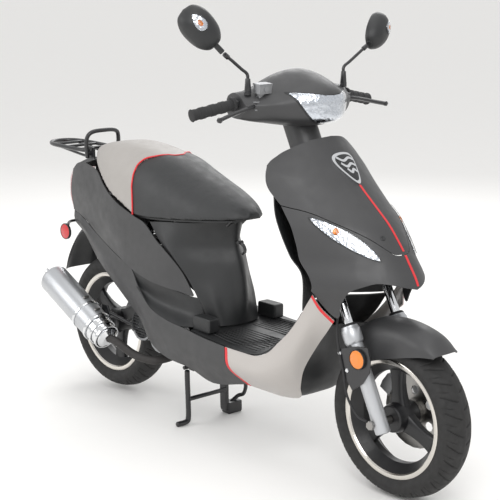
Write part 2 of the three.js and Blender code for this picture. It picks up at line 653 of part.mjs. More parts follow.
// ---- front shield ---------------------------------------------------------------------------
// The shield's front is a swept sheet: x falls from the centre line with the square of y.
const CENTRE_LINE = [[1338, 480], [1334, 520], [1318, 590], [1307, 616], [1258, 688], [1206, 750],
  [1105, 836], [1037, 900], [979, 972]];
const SWEEP = [[0.0098, 480], [0.0086, 520], [0.0058, 580], [0.0057, 620], [0.0061, 655], [0.0055, 700],
  [0.005, 740], [0.0047, 790], [0.0043, 835], [0.0039, 880], [0.0041, 915], [0.006, 972]];
function lookUp(table, z) {
  const i = Math.max(1, table.findIndex((row) => row[1] >= z));
  const [[v0, z0], [v1, z1]] = [table[i - 1], table[i]];
  return v0 + ((v1 - v0) * (z - z0)) / (z1 - z0);
}
const shieldPoint = ([y, z]) => [lookUp(CENTRE_LINE, z) - lookUp(SWEEP, z) * y * y, -y, z];
const SEAM = [[0, 680], [32, 685], [70, 721], [100, 744], [125, 762], [145, 778], [162, 787], [177, 792],
  [190, 797]];
const SHIELD_TOP = [[0, 970], [32, 967], [62, 961], [90, 951], [115, 940], [135, 930], [152, 919],
  [166, 909], [178, 897]];
const SHIELD_SHOULDER = [[0, 905], [32, 904], [66, 901], [96, 896], [122, 890], [145, 884], [164, 879],
  [179, 874], [191, 870]];
const SHIELD_MIDDLE = [[0, 800], [32, 803], [68, 812], [100, 818], [128, 824], [150, 829], [170, 833],
  [185, 836], [196, 838]];
const upperRows = [SHIELD_TOP, SHIELD_SHOULDER, SHIELD_MIDDLE, SEAM].map((row) => row.map(shieldPoint));

const UNDER_SEAM = SEAM.map(([y, z]) => [y, z - 4]);
const CHEEK = [[0, 655], [33, 658], [78, 688], [110, 702], [135, 708], [155, 712], [168, 714], [181, 724],
  [192, 745]];
const NOSE = [[0, 622], [33, 628], [85, 648], [118, 655], [143, 650], [157, 630], [165, 606], [182, 640],
  [191, 672]];
const NOSE_LIP = [[0, 592], [33, 600], [88, 612], [121, 601], [143, 583], [145, 552], [140, 505],
  [165, 541], [190, 580]];
const lowerRows = [UNDER_SEAM, CHEEK, NOSE, NOSE_LIP].map((row) => row.map(shieldPoint));
const SHIELD_INSIDE = [900, 0, 760];

const upperShield = skin(bothSides(upperRows), SHIELD_INSIDE, { across: 4, along: 12 });
const badge = skin([
  [[1010, -26, 925], [1014, 0, 930], [1010, 26, 925]],
  [[1040, -27, 890], [1048, 0, 893], [1040, 27, 890]],
  [[1094, -5, 844], [1098, 0, 842], [1094, 5, 844]],
], SHIELD_INSIDE, { across: 3, along: 4, thickness: 12, lift: 7 });
add(chassis, 'front_shield_upper', join(upperShield, badge), CHARCOAL);

// Indicator lens: a leaf shape set into the lower shield, seen along the panel's own normal.
const LENS_TIP_OUT = [1054, -165, 764];
const LENS_TIP_IN = [1243, -72, 667];
const LENS_HALF_HEIGHT = 27;
function leafPrism(shrink) {
  const out = new THREE.Vector3(0.62, -0.76, 0.2).normalize();
  const span = vector(LENS_TIP_IN).sub(vector(LENS_TIP_OUT));
  const along = span.clone().addScaledVector(out, -span.dot(out)).normalize();
  const up = new THREE.Vector3().crossVectors(out, along).normalize();
  const half = span.length() / 2 - shrink;
  const outline = [];
  for (let i = 0; i < 12; i++) {
    const angle = (2 * Math.PI * i) / 12;
    const [c, s] = [Math.cos(angle), Math.sin(angle)];
    outline.push(new THREE.Vector2(half * c, (LENS_HALF_HEIGHT - shrink) * s * Math.abs(s) ** 0.35));
  }
  const options = { depth: 160, bevelEnabled: false };
  const prism = new THREE.ExtrudeGeometry(new THREE.Shape(outline), options).translate(0, 0, -80);
  const middle = mix(LENS_TIP_OUT, LENS_TIP_IN, 0.5);
  return prism.applyMatrix4(new THREE.Matrix4().makeBasis(along, up, out)).translate(...middle);
}
const shieldSheet = { across: 4, along: 12 };
const lowerShield = skin(bothSides(lowerRows), SHIELD_INSIDE, shieldSheet);
const leafHole = leafPrism(0);
add(chassis, 'front_shield_lower', cut(lowerShield, leafHole, mirrored(leafHole)), CHARCOAL);
const lensSheet = skin(lowerRows, SHIELD_INSIDE, { across: 6, along: 7, lift: 1.5 });
addPair(chassis, 'indicator_lens', common(lensSheet, leafPrism(1)), CLEAR);

// ---- leg shield, floor and side trims -------------------------------------------------------
const LEG_SHIELD_ROWS = [
  [[836, 0, 905], [842, -55, 905], [866, -105, 900], [892, -150, 890], [903, -172, 878]],
  [[862, 0, 830], [868, -55, 830], [895, -110, 835], [930, -160, 838], [944, -184, 838]],
  [[888, 0, 750], [898, -55, 748], [930, -115, 750], [958, -168, 755], [966, -192, 758]],
  [[908, 0, 672], [918, -55, 668], [954, -112, 665], [998, -165, 664], [1016, -188, 664]],
  [[938, 0, 592], [950, -55, 590], [988, -105, 592], [1036, -155, 606], [1060, -182, 612]],
  [[964, 0, 512], [982, -55, 512], [1020, -105, 512], [1048, -150, 512], [1058, -176, 513]],
];
const legShield = skin(bothSides(LEG_SHIELD_ROWS), [1100, 0, 700], { across: 5, along: 8 });
add(chassis, 'leg_shield_inner', legShield, BLACK_PLASTIC);

const FLOOR_ROWS = [
  [[962, 0, 506], [984, -60, 506], [1026, -120, 506], [1052, -171, 507]],
  [[938, 0, 432], [952, -60, 434], [984, -120, 438], [1004, -172, 442]],
  [[902, 0, 376], [908, -60, 378], [926, -120, 384], [942, -170, 388]],
  [[860, 0, 350], [860, -60, 350], [862, -120, 348], [864, -169, 345]],
  [[740, 0, 350], [740, -60, 350], [740, -120, 347], [740, -172, 342]],
  [[570, 0, 352], [570, -60, 352], [570, -120, 352], [570, -166, 354]],
];
const footrests = [-1, 1].map((side) => block([80, 42, 46], [602, 133 * side, 374]));
add(chassis, 'floorboard', join(
  skin(bothSides(FLOOR_ROWS), [800, 0, 200], { across: 8, along: 4, thickness: 5 }),
  ...footrests,
), BLACK_PLASTIC);

const TRIM_ROWS = [
  [[742, -180, 341], [800, -180, 341], [870, -177, 342], [922, -176, 364], [963, -177, 400],
    [1010, -181, 442], [1055, -185, 494], [1084, -188, 534], [1110, -190, 569]],
  [[754, -179, 283], [815, -178, 280], [882, -174, 280], [940, -168, 300], [985, -165, 340],
    [1022, -166, 388], [1062, -168, 442], [1094, -168, 488], [1122, -168, 531]],
  [[796, -137, 230], [850, -112, 218], [905, -96, 212], [962, -84, 221], [981, -102, 262],
    [1010, -117, 325], [1062, -120, 402], [1106, -130, 451], [1145, -140, 494]],
];
const trim = skin(TRIM_ROWS, [900, 0, 400], { across: 3, along: 9 });
addPair(chassis, 'side_trim', trim, LIGHT_PANEL);

const BELLY_ROWS = [
  [[1014, 0, 432], [1022, -50, 432], [1042, -104, 426]],
  [[1000, 0, 345], [1002, -50, 345], [1004, -106, 340]],
  [[992, 0, 270], [988, -50, 268], [976, -94, 266]],
  [[950, 0, 217], [948, -50, 217], [944, -77, 220]],
  [[860, 0, 212], [860, -50, 212], [860, -86, 214]],
  [[780, 0, 214], [780, -50, 214], [780, -96, 218]],
];
const belly = skin(bothSides(BELLY_ROWS), [880, 0, 350], { across: 7, along: 4 });
add(chassis, 'belly_pan', belly, BLACK_PLASTIC);

// ---- rear body ------------------------------------------------------------------------------
const LOWER_BODY_ROWS = [
  [[-198, -45, 597], [-125, -66, 588], [5, -98, 551], [95, -120, 528], [175, -136, 507], [250, -146, 487],
    [296, -156, 440], [370, -166, 385], [460, -170, 362], [545, -173, 355], [635, -176, 346],
    [737, -179, 341]],
  [[-193, -50, 578], [-118, -72, 560], [8, -106, 510], [95, -126, 478], [178, -140, 447], [245, -148, 420],
    [300, -156, 380], [368, -166, 325], [455, -172, 300], [545, -175, 290], [640, -178, 280],
    [750, -178, 283]],
  [[-188, -50, 560], [-108, -68, 532], [8, -100, 470], [91, -116, 430], [176, -128, 388], [235, -136, 358],
    [297, -144, 323], [345, -148, 268], [430, -150, 234], [545, -148, 224], [640, -133, 196],
    [791, -137, 230]],
];
const lowerBody = skin(LOWER_BODY_ROWS, [300, 0, 400], { across: 2, along: 11 });
// Passenger footwell: the wall that steps in above the lower panel's ledge.
const FOOTWELL_ROWS = [
  [[262, -147, 484], [330, -147, 470], [400, -143, 459], [460, -136, 450], [512, -120, 440]],
  [[276, -149, 442], [340, -140, 414], [410, -134, 398], [480, -128, 390], [528, -121, 386]],
  [[300, -157, 434], [370, -164, 384], [460, -168, 361], [515, -170, 356], [552, -170, 354]],
];
const footwell = skin(FOOTWELL_ROWS, [400, 0, 300], { across: 3, along: 5 });
addPair(chassis, 'body_lower', join(lowerBody, footwell), CHARCOAL);

const UPPER_BODY_ROWS = [
  [[-196, -48, 742], [-150, -60, 768], [-88, -74, 770], [8, -98, 748], [60, -114, 718], [123, -130, 693],
    [189, -140, 673], [276, -149, 653], [328, -149, 640], [385, -151, 599], [440, -148, 563],
    [488, -131, 511], [527, -118, 445]],
  [[-205, -52, 672], [-150, -68, 682], [-80, -86, 680], [8, -106, 655], [70, -122, 632], [130, -136, 610],
    [200, -147, 588], [278, -153, 570], [335, -154, 555], [385, -153, 535], [430, -147, 512],
    [475, -133, 480], [525, -119, 443]],
  [[-200, -46, 600], [-125, -67, 591], [-60, -82, 574], [5, -99, 554], [95, -121, 531], [175, -137, 510],
    [225, -147, 497], [285, -154, 480], [350, -155, 466], [395, -152, 460], [440, -146, 455],
    [485, -133, 449], [523, -120, 441]],
];
const upperBody = skin(UPPER_BODY_ROWS, [200, 0, 600], { across: 2, along: 12 });
const TAIL_DECK_ROWS = [
  [[-192, -49, 741], [-206, 0, 748], [-192, 49, 741]],
  [[-150, -61, 767], [-152, 0, 781], [-150, 61, 767]],
  [[-92, -74, 769], [-92, 0, 784], [-92, 74, 769]],
];
const tailDeck = skin(TAIL_DECK_ROWS, [0, 0, 600], { across: 3, along: 4 });
add(chassis, 'tail_cowl', join(upperBody, mirrored(upperBody), tailDeck), CHARCOAL);

const POST_ROWS = [
  [[338, -138, 630], [395, -132, 641], [455, -120, 648], [508, -98, 655], [545, -68, 655], [580, -36, 650],
    [604, 0, 650]],
  [[398, -143, 594], [425, -142, 595], [462, -124, 596], [500, -95, 597], [532, -66, 598], [566, -34, 599],
    [594, 0, 600]],
  [[453, -139, 552], [470, -136, 548], [500, -116, 545], [530, -92, 543], [560, -64, 542], [592, -34, 541],
    [616, 0, 541]],
  [[500, -124, 500], [512, -120, 494], [532, -106, 490], [556, -86, 487], [580, -62, 485], [607, -32, 484],
    [630, 0, 484]],
  [[536, -111, 439], [544, -110, 436], [562, -100, 431], [582, -84, 427], [597, -60, 424], [618, -32, 422],
    [636, 0, 421]],
  [[566, -92, 357], [578, -90, 357], [592, -86, 357], [606, -76, 357], [616, -56, 357], [624, -30, 357],
    [628, 0, 357]],
];
const seatPost = skin(bothSides(POST_ROWS.map(inwards)), [400, 0, 520], { across: 5, along: 12 });
add(chassis, 'seat_post_cover', seatPost, BLACK_PLASTIC);

// ---- seat -----------------------------------------------------------------------------------
// Stations along the seat: x, half width at the edge, height of the edge, height of the crown, and
// how square the shoulders are.
const SEAT_STATIONS = [
  [-72, 30, 803, 822, 0.62], [-50, 58, 796, 839, 0.66], [0, 91, 777, 853, 0.7], [60, 114, 741, 863, 0.7],
  [120, 130, 710, 867, 0.7], [190, 140, 686, 861, 0.72], [265, 149, 662, 851, 0.76],
    [330, 149, 661, 840, 0.8],
  [400, 142, 665, 816, 0.84], [470, 133, 671, 791, 0.88], [540, 117, 677, 766, 0.9],
    [600, 92, 682, 742, 0.9],
  [645, 62, 685, 722, 0.9], [676, 24, 688, 706, 0.9],
];
const SEAT_STEPS = 20;
const seatStation = (i) => spline(SEAT_STATIONS, i / SEAT_STEPS);
function seatRing([x, width, edge, crown, shoulder]) {
  const ring = [];
  for (let i = 0; i <= 8; i++) {
    const angle = (Math.PI * i) / 8;
    const [c, s] = [Math.cos(angle), Math.sin(angle)];
    const y = -Math.sign(c) * width * Math.abs(c) ** (shoulder - 0.06);
    ring.push([x, y, edge + (crown - edge) * Math.abs(s) ** shoulder]);
  }
  return ring;
}
const cushionRings = [];
for (let i = 0; i <= SEAT_STEPS; i++) cushionRings.push(seatRing(seatStation(i)));
add(chassis, 'seat_cushion', loft(cushionRings), VINYL);

// Seat base: a thin plate that follows the cushion's edge, with the hinge barrel at its front.
const BASE_INSET = 14;
function seatBase() {
  const rings = [];
  for (let i = 3; i <= 18; i++) {
    const [x, width, edge] = seatStation(i);
    const half = width - BASE_INSET;
    const [top, low] = [edge - 0.5, edge - 6];
    rings.push([[x, -half, low], [x, half, low], [x, half, top], [x, -half, top]]);
  }
  const [hx, , hz] = SEAT_HINGE;
  const barrel = rod([hx, -24, hz], [hx, 24, hz], 7, 10);
  return cut(join(loft(rings), barrel), rod([hx, -30, hz], [hx, 30, hz], 3.6, 8));
}
add(chassis, 'seat_base', seatBase(), BLACK_PLASTIC);

// Bag hook on the front of the seat post cover.
function bagHook() {
  const route = [[606, 0, 606], [622, 0, 600], [630, 0, 586], [624, 0, 574], [614, 0, 576]];
  return join(tube(route, 5, 7, 6), rod([606, -10, 606], [606, 10, 606], 6, 10));
}
add(chassis, 'bag_hook', bagHook(), BLACK_PAINT);

// ---- frame ----------------------------------------------------------------------------------
const FRAME_TUBE = 13;
function frameGeometry() {
  const headTube = rod(axisPoint(668), axisPoint(884), 27, 12);
  const downTube = tube([axisPoint(760), [972, 0, 680], [988, 0, 590], [994, 0, 500], [978, 0, 400],
    [930, 0, 318], [830, 0, 286]], 19, 8, 7);
  const rails = [-1, 1].map((side) => tube([
    [840, 0, 290], [790, 50 * side, 282], [700, 78 * side, 276], [570, 84 * side, 278],
      [475, 88 * side, 330],
    [385, 92 * side, 450], [270, 84 * side, 560], [130, 64 * side, 622], [-40, 48 * side, 664],
      [-168, 40 * side, 704],
  ], FRAME_TUBE, 10, 5));
  const crossBars = [[570, 84, 278], [270, 84, 560], [-40, 48, 664]].map(([x, y, z]) => rod([x, -y, z],
    [x, y, z], 11, 6));
  const [ex, , ez] = ENGINE_PIVOT;
  const hangers = platePair([[ex - 14, ez - 14], [ex + 14, ez - 14], [492, 318], [480, 342], [455, 330]],
    60, 67);
  const engineBolt = rod([ex, -72, ez], [ex, 72, ez], PIVOT_RADIUS, 12);
  const standLugs = platePair([[424, 172], [448, 172], [492, 318], [468, 336]], 46, 53);
  const lugBars = [-1, 1].map((side) => rod([476, 46 * side, 326], [476, 88 * side, 326], 9, 8));
  const [tx, ty, tz] = SHOCK_TOP;
  const shockLug = join(
    plate([[tx - 12, tz - 12], [tx + 12, tz - 12], [tx + 16, tz + 38], [tx - 16, tz + 42]], 50, 60),
    rod([tx, 54, tz], [tx, ty + 12, tz], PIVOT_RADIUS, 10),
  );
  const [hx, , hz] = SEAT_HINGE;
  const hingeLugs = [-1, 1].map((side) => rod([hx, 29 * side, hz], [558, 29 * side, 640], 4.5, 6));
  const hingePin = rod([hx, -33, hz], [hx, 33, hz], 3, 8);
  const seatStay = [-1, 1].map((side) => tube([[562, 29 * side, 644], [540, 30 * side, 590],
    [522, 50 * side, 470], [512, 84 * side, 296]], 6, 7, 5));
  const headBore = rod(axisPoint(640), axisPoint(900), 14.2, 12);
  const [sx, , sz] = STAND_PIVOT;
  const standHole = rod([sx, -60, sz], [sx, 60, sz], PIVOT_RADIUS + 0.5, 12);
  return cut(
    join(headTube, downTube, ...rails, ...crossBars, ...hangers, engineBolt, ...standLugs, ...lugBars,
      shockLug, ...hingeLugs, hingePin, ...seatStay),
    headBore, standHole,
  );
}
add(chassis, 'main_frame', frameGeometry(), BLACK_PAINT);

// ---- tail -----------------------------------------------------------------------------------
const TAIL_LIGHT_ROWS = [
  [[-198, -45, 738], [-222, -26, 742], [-230, 0, 744]],
  [[-208, -49, 700], [-238, -30, 704], [-248, 0, 705]],
  [[-209, -50, 650], [-240, -31, 650], [-251, 0, 650]],
  [[-203, -44, 606], [-230, -27, 604], [-240, 0, 604]],
];
const tailLight = skin(bothSides(TAIL_LIGHT_ROWS.map(inwards)), [0, 0, 660],
  { across: 4, along: 6, thickness: 5 });
add(chassis, 'tail_light', tailLight, RED);

const RACK_BAR = 7;
function rackGeometry() {
  const z = 815;
  const half = [[-348, 0, z + 3], [-334, -38, z + 3], [-290, -62, z + 2], [-200, -66, z + 1],
    [-124, -60, z], [-92, -40, z]];
  const loop = tube([...half.slice(1).reverse().map(flipY), ...half], RACK_BAR, 11, 5);
  const arch = tube([[-92, -62, z - 22], [-90, -66, 850], [-84, -50, 876], [-82, 0, 881], [-84, 50, 876],
    [-90, 66, 850], [-92, 62, z - 22]], RACK_BAR, 8, 5);
  const cross = [-290, -215, -135].map((x) => rod([x, -64, z + 1], [x, 64, z + 1], 5, 5));
  const feet = [-1, 1].map((side) => plate([[-122, 789], [-70, 789], [-72, 826], [-104, 830]],
    Math.min(44 * side, 50 * side), Math.max(44 * side, 50 * side)));
  const footBars = [-1, 1].map((side) => rod([-92, 46 * side, 806], [-92, 64 * side, 806], 7, 8));
  const struts = [-1, 1].map((side) => rod([-318, 48 * side, z], [-128, 47 * side, 794], 4.5, 5));
  const bend = [-1, 1].map((side) => rod([-132, 47 * side, 794], [-100, 47 * side, 797], 4.5, 5));
  return join(loop, arch, ...cross, ...feet, ...footBars, ...struts, ...bend);
}
add(chassis, 'rear_rack', rackGeometry(), BLACK_PAINT);

const MUDGUARD_ROWS = [
  [[110, 0, 548], [110, -36, 546], [110, -56, 534]],
  [[-20, 0, 568], [-20, -38, 565], [-20, -60, 548]],
  [[-120, 0, 566], [-120, -36, 562], [-118, -56, 541]],
  [[-186, 0, 520], [-184, -38, 516], [-176, -58, 500]],
  [[-222, 0, 452], [-220, -42, 450], [-210, -64, 440]],
  [[-242, 0, 388], [-240, -43, 388], [-230, -64, 388]],
];
const mudguard = skin(bothSides(MUDGUARD_ROWS), [0, 0, 241], { across: 7, along: 6, thickness: 3 });
add(chassis, 'rear_mudguard', mudguard, BLACK_PLASTIC);

// Side reflectors on one cross bar behind the tail.
function rearReflectors() {
  const bar = tube([[-176, -98, 538], [-190, -80, 548], [-214, -52, 556], [-216, 52, 556], [-190, 80, 548],
    [-176, 98, 538]], 5, 10, 6);
  const discs = [-1, 1].map((side) => rod([-172, 96 * side, 534], [-172, 106 * side, 534], 27, 16));
  return join(bar, ...discs);
}
add(chassis, 'rear_reflectors', rearReflectors(), RED);

// ---- swinging engine unit -------------------------------------------------------------------
function roundedCase(points, near, far) {
  return join(...points.map(([x, z, radius]) => rod([x, near, z], [x, far, z], radius, 16)),
    ...points.slice(1).map(([x, z, radius], i) => {
      const [x0, z0, r0] = points[i];
      const angle = Math.atan2(z - z0, x - x0);
      const [nx, nz] = [-Math.sin(angle), Math.cos(angle)];
      return plate([[x0 + nx * r0, z0 + nz * r0], [x0 - nx * r0, z0 - nz * r0],
        [x - nx * radius, z - nz * radius], [x + nx * radius, z + nz * radius]], near, far);
    }));
}
function engineGeometry() {
  const [px, , pz] = ENGINE_PIVOT;
  const beltCase = roundedCase([[285, 240, 66], [0, 241, 64]], 66, 118);
  const crankcase = roundedCase([[296, 252, 50]], -72, 70);
  const bridge = block([110, 24, 90], [190, 72, 250]);
  const cylinder = block([96, 104, 92], [354, 0, 274]);
  const intake = rod([352, 10, 310], [300, 40, 352], 18, 12);
  const hanger = join(rod([px, -55, pz], [px, 55, pz], 15, 12), block([80, 56, 24], [350, 0, 224], 0.15));
  const fanHousing = rod([270, -116, 300], [270, -66, 290], 52, 16, 52);
  const fanBore = rod([270, -130, 300], [270, -108, 300], 45, 16);
  const slats = [];
  for (let i = -2; i <= 2; i++) {
    const half = Math.sqrt(45 ** 2 - (i * 16) ** 2);
    slats.push(block([2 * half + 4, 5, 5], [270, -111, 300 + i * 16]));
  }
  const boss = rod([270, -114, 300], [270, -100, 300], 12, 16);
  const duct = block([110, 60, 86], [322, -66, 288]);
  const gearbox = rod([0, 66, 241], [0, 58, 241], 40, 20);
  const axle = rod([0, -74, 241], [0, 60, 241], 8, 16);
  const nut = rod([0, -58, 241], [0, -46, 241], 13, 6);
  const [lx, ly, lz] = SHOCK_LOW;
  const shockLug = join(
    plate([[lx - 20, 270], [lx + 26, 270], [lx + 12, lz + 10], [lx - 12, lz + 10]], ly + 13, ly + 22),
    rod([lx, ly - 12, lz], [lx, ly + 18, lz], SHOCK_PIN, 10),
  );
  const airBox = block([170, 40, 60], [150, 90, 352], 0.06);
  const airNeck = block([60, 30, 40], [160, 92, 318]);
  const pivotHole = rod([px, -60, pz], [px, 60, pz], PIVOT_RADIUS + 0.5, 12);
  return cut(join(beltCase, crankcase, bridge, cylinder, intake, hanger, cut(fanHousing, fanBore), ...slats,
    boss, duct, gearbox, axle, nut, shockLug, airBox, airNeck), pivotHole);
}
add(rearUnit, 'engine_unit', engineGeometry(), SILVER);

const MUFFLER_REAR = [-134, -180, 389];
const MUFFLER_FRONT = [165, -180, 244];
const MUFFLER_RADIUS = 50;
function exhaustGeometry() {
  const at = (t) => mix(MUFFLER_REAR, MUFFLER_FRONT, t);
  const can = rod(at(0), at(0.82), MUFFLER_RADIUS, 16);
  const endCone = rod(at(0), at(-0.05), MUFFLER_RADIUS, 16, 36);
  const tailPipe = rod(at(-0.04), at(-0.13), 12, 14);
  const frontCone = rod(at(0.82), at(1), MUFFLER_RADIUS - 2, 16, 38);
  const bands = [0.6, 0.8, 0.97].map((t, i) => rod(at(t), at(t + 0.035), [53, 53, 43][i], 16));
  const header = tube([at(0.98), [205, -174, 240], [262, -150, 206], [330, -130, 197], [356, -98, 201],
    [358, -66, 205], [354, -44, 216]], 13, 10, 7);
  const bracket = plate([[60, 300], [96, 284], [110, 300], [96, 330], [64, 330]], -128, -122);
  const bracketBar = rod([82, -124, 306], [82, -150, 306], 9, 10);
  const stay = tube([[84, -125, 310], [120, -118, 300], [184, -98, 281], [210, -86, 276]], 6, 4, 6);
  const port = rod([354, -44, 214], [354, -44, 227], 14, 10);
  const bore = rod(at(-0.2), at(-0.06), 9, 12);
  return cut(join(can, endCone, tailPipe, frontCone, ...bands, header, bracket, bracketBar, stay, port),
    bore);
}
add(rearUnit, 'exhaust', exhaustGeometry(), SILVER);

function kickLever() {
  const arm = tube([[196, 133, 236], [240, 138, 226], [300, 150, 214], [340, 160, 206]], 8, 6, 6);
  const pedal = rod([340, 156, 206], [346, 196, 206], 10, 10);
  const boss = rod([196, 124, 236], [196, 140, 236], 16, 14);
  return join(arm, pedal, boss);
}
add(rearUnit, 'kick_lever', kickLever(), BLACK_PAINT);

// ---- centre stand ---------------------------------------------------------------------------
function standGeometry() {
  const [px, , pz] = STAND_PIVOT;
  const shaft = rod([px, -84, pz], [px, 84, pz], PIVOT_RADIUS, 12);
  const cheeks = [-1, 1].map((side) => plate([[px - 16, pz + 12], [px + 18, pz + 12], [px + 16, 120],
    [px - 6, 120]], Math.min(72 * side, 78 * side), Math.max(72 * side, 78 * side)));
  const rightLeg = tube([[442, -75, 140], [445, -74, 80], [446, -74, 24], [446, -84, 10], [444, -117, 9]],
    8.5, 9, 7);
  const crossBar = rod([452, -74, 86], [452, 78, 86], 7, 10);
  const leftLeg = loft([[438, 150], [440, 80], [444, 12], [444, 0]].map(([x, z], i) => {
    const [w, y0] = [[13, 68], [16, 70], [18, 76], [18, 78]][i];
    return [[x - w, y0, z], [x + w, y0, z], [x + w, y0 + 14, z], [x - w, y0 + 14, z]];
  }));
  const footBlock = block([36, 60, 40], [444, 112, 20], 0);
  const tang = tube([[446, 104, 34], [452, 130, 52], [470, 138, 62], [488, 132, 90], [494, 124, 112]], 6.5,
    8, 6);
  const trimFeet = block([100, 400, 20], [444, 0, -10]);
  return cut(join(shaft, ...cheeks, rightLeg, crossBar, leftLeg, footBlock, tang), trimFeet);
}
add(chassis, 'centre_stand', standGeometry(), BLACK_PAINT);

// ---- rear shock absorber --------------------------------------------------------------------
const shockAt = (t) => mix(SHOCK_TOP, SHOCK_LOW, t);
function shockBody() {
  const [x, y, z] = SHOCK_TOP;
  const eye = rod([x, y - 9, z], [x, y + 9, z], 13, 12);
  const can = rod(shockAt(0.03), shockAt(0.5), 9, 12);
  const seatPlate = rod(shockAt(0.1), shockAt(0.13), 19, 14);
  const room = rod(shockAt(0.17), shockAt(0.6), 5.8, 10);
  return cut(join(eye, can, seatPlate), room, rod([x, y - 20, z], [x, y + 20, z], PIVOT_RADIUS + 0.6, 10));
}
// The lower eye is wide, because the strut's own tilt and stroke only follow the swing closely.
function shockRod() {
  const [x, y, z] = SHOCK_LOW;
  const eye = rod([x, y - 9, z], [x, y + 9, z], 13, 12);
  const shaft = rod(shockAt(0.97), shockAt(0.375), 5, 10);
  const seatPlate = rod(shockAt(0.87), shockAt(0.9), 19, 14);
  return cut(join(eye, shaft, seatPlate), rod([x, y - 20, z], [x, y + 20, z], SHOCK_PIN + LOOSE_PIVOT, 12));
}
function shockSpring() {
  const turns = 7;
  const axis = vector(SHOCK_LOW).sub(vector(SHOCK_TOP)).normalize();
  const side = new THREE.Vector3(0, 1, 0);
  const other = new THREE.Vector3().crossVectors(axis, side).normalize();
  const points = [];
  for (let i = 0; i <= turns * 8; i++) {
    const angle = (2 * Math.PI * i) / 8;
    const centre = vector(shockAt(0.155 + (0.69 * i) / (turns * 8)));
    points.push(centre.addScaledVector(side, 16 * Math.cos(angle)).addScaledVector(other,
      16 * Math.sin(angle)).toArray());
  }
  return tube(points, 3, turns * 7, 4);
}
add(rearUnit, 'shock_body', shockBody(), BLACK_PAINT);
add(rearUnit, 'shock_rod', shockRod(), CHROME);
add(rearUnit, 'shock_spring', shockSpring(), CHROME);

export default scooter;
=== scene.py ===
"""Moped scooter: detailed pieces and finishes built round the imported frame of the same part."""

import logging
import math
from dataclasses import dataclass
from enum import Enum
from typing import Optional, Sequence

import bmesh
import bpy
import numpy as np
from mathutils import Matrix, Vector

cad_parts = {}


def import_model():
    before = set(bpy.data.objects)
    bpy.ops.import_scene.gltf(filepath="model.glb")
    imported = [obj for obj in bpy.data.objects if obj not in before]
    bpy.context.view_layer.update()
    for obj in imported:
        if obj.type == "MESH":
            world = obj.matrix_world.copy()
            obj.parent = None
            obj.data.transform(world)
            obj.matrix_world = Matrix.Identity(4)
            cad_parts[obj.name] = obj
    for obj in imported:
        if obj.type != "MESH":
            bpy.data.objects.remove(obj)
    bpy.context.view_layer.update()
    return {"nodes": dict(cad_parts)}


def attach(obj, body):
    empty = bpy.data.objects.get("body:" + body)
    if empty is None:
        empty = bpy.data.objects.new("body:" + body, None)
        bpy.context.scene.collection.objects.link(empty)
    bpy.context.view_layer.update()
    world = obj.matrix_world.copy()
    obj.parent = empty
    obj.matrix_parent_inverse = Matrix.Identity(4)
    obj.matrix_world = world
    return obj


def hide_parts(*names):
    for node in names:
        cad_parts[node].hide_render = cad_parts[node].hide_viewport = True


LOG = logging.getLogger("scooter")
MIDDLE_X = 574.65  # millimetres from the rear axle to the middle of the scooter
PANEL = 3.2  # wall of the plastic panels, millimetres
Array = np.ndarray


# ---- numbers to places -----------------------------------------------------------------------
def metres(points: Array) -> Array:
    """Turn millimetres from the rear axle into metres in the part's own frame."""
    moved = np.asarray(points, float) - np.array([MIDDLE_X, 0.0, 0.0])
    return moved / 1000.0


def smooth_run(points: Array, count: int) -> Array:
    """Resample points along their first axis with a Catmull-Rom curve.

    Between points b and c the value is b + u/2 * (c - a + u * (2a - 5b + 4c - d + u * (3b - a - 3c + d))).

    Args:
        points: control values, evenly spaced.
        count: how many samples to return.

    Returns:
        The samples, with the first and the last control values at the ends.
    """
    points = np.asarray(points, float)
    last = len(points) - 1
    place = np.linspace(0, last, count)
    i = np.minimum(place.astype(int), last - 1)
    u = (place - i).reshape((-1,) + (1,) * (points.ndim - 1))
    padded = np.concatenate([2 * points[:1] - points[1:2], points, 2 * points[-1:] - points[-2:-1]])
    a, b, c, d = (padded[i + k] for k in range(4))
    return b + 0.5 * u * ((c - a) + u * ((2 * a - 5 * b + 4 * c - d) + u * (3 * b - a - 3 * c + d)))


def sheet_grid(rows: Sequence, across: int, along: int) -> Array:
    """A smooth surface through rows of points: a Catmull-Rom curve along rows, then across them."""
    control = np.array(rows, float)
    down = smooth_run(control, across)
    return smooth_run(down.transpose(1, 0, 2), along).transpose(1, 0, 2)


def flipped(points: Array) -> Array:
    """The mirror image on the other side of the scooter."""
    return np.asarray(points, float) * np.array([1.0, -1.0, 1.0])


def both_sides(rows: Sequence) -> list:
    """Complete rows that run from the centre line outwards on the right."""
    return [[*[[x, -y, z] for x, y, z in reversed(row[1:])], *row] for row in rows]


def unit(v: Array) -> Array:
    """Vectors scaled to length one."""
    return v / np.maximum(np.linalg.norm(v, axis=-1, keepdims=True), 1e-9)


# ---- meshes ----------------------------------------------------------------------------------
def grid_faces(rows: int, columns: int, wrap: bool = False, start: int = 0) -> Array:
    """Quads of a grid of rows by columns, joined round across the columns when wrap is set."""
    i = np.arange(rows - 1)[:, None]
    j = np.arange(columns if wrap else columns - 1)[None, :]
    k = (j + 1) % columns
    a, b, c, d = i * columns + j, i * columns + k, (i + 1) * columns + k, (i + 1) * columns + j
    return np.stack([a, b, c, d], -1).reshape(-1, 4) + start


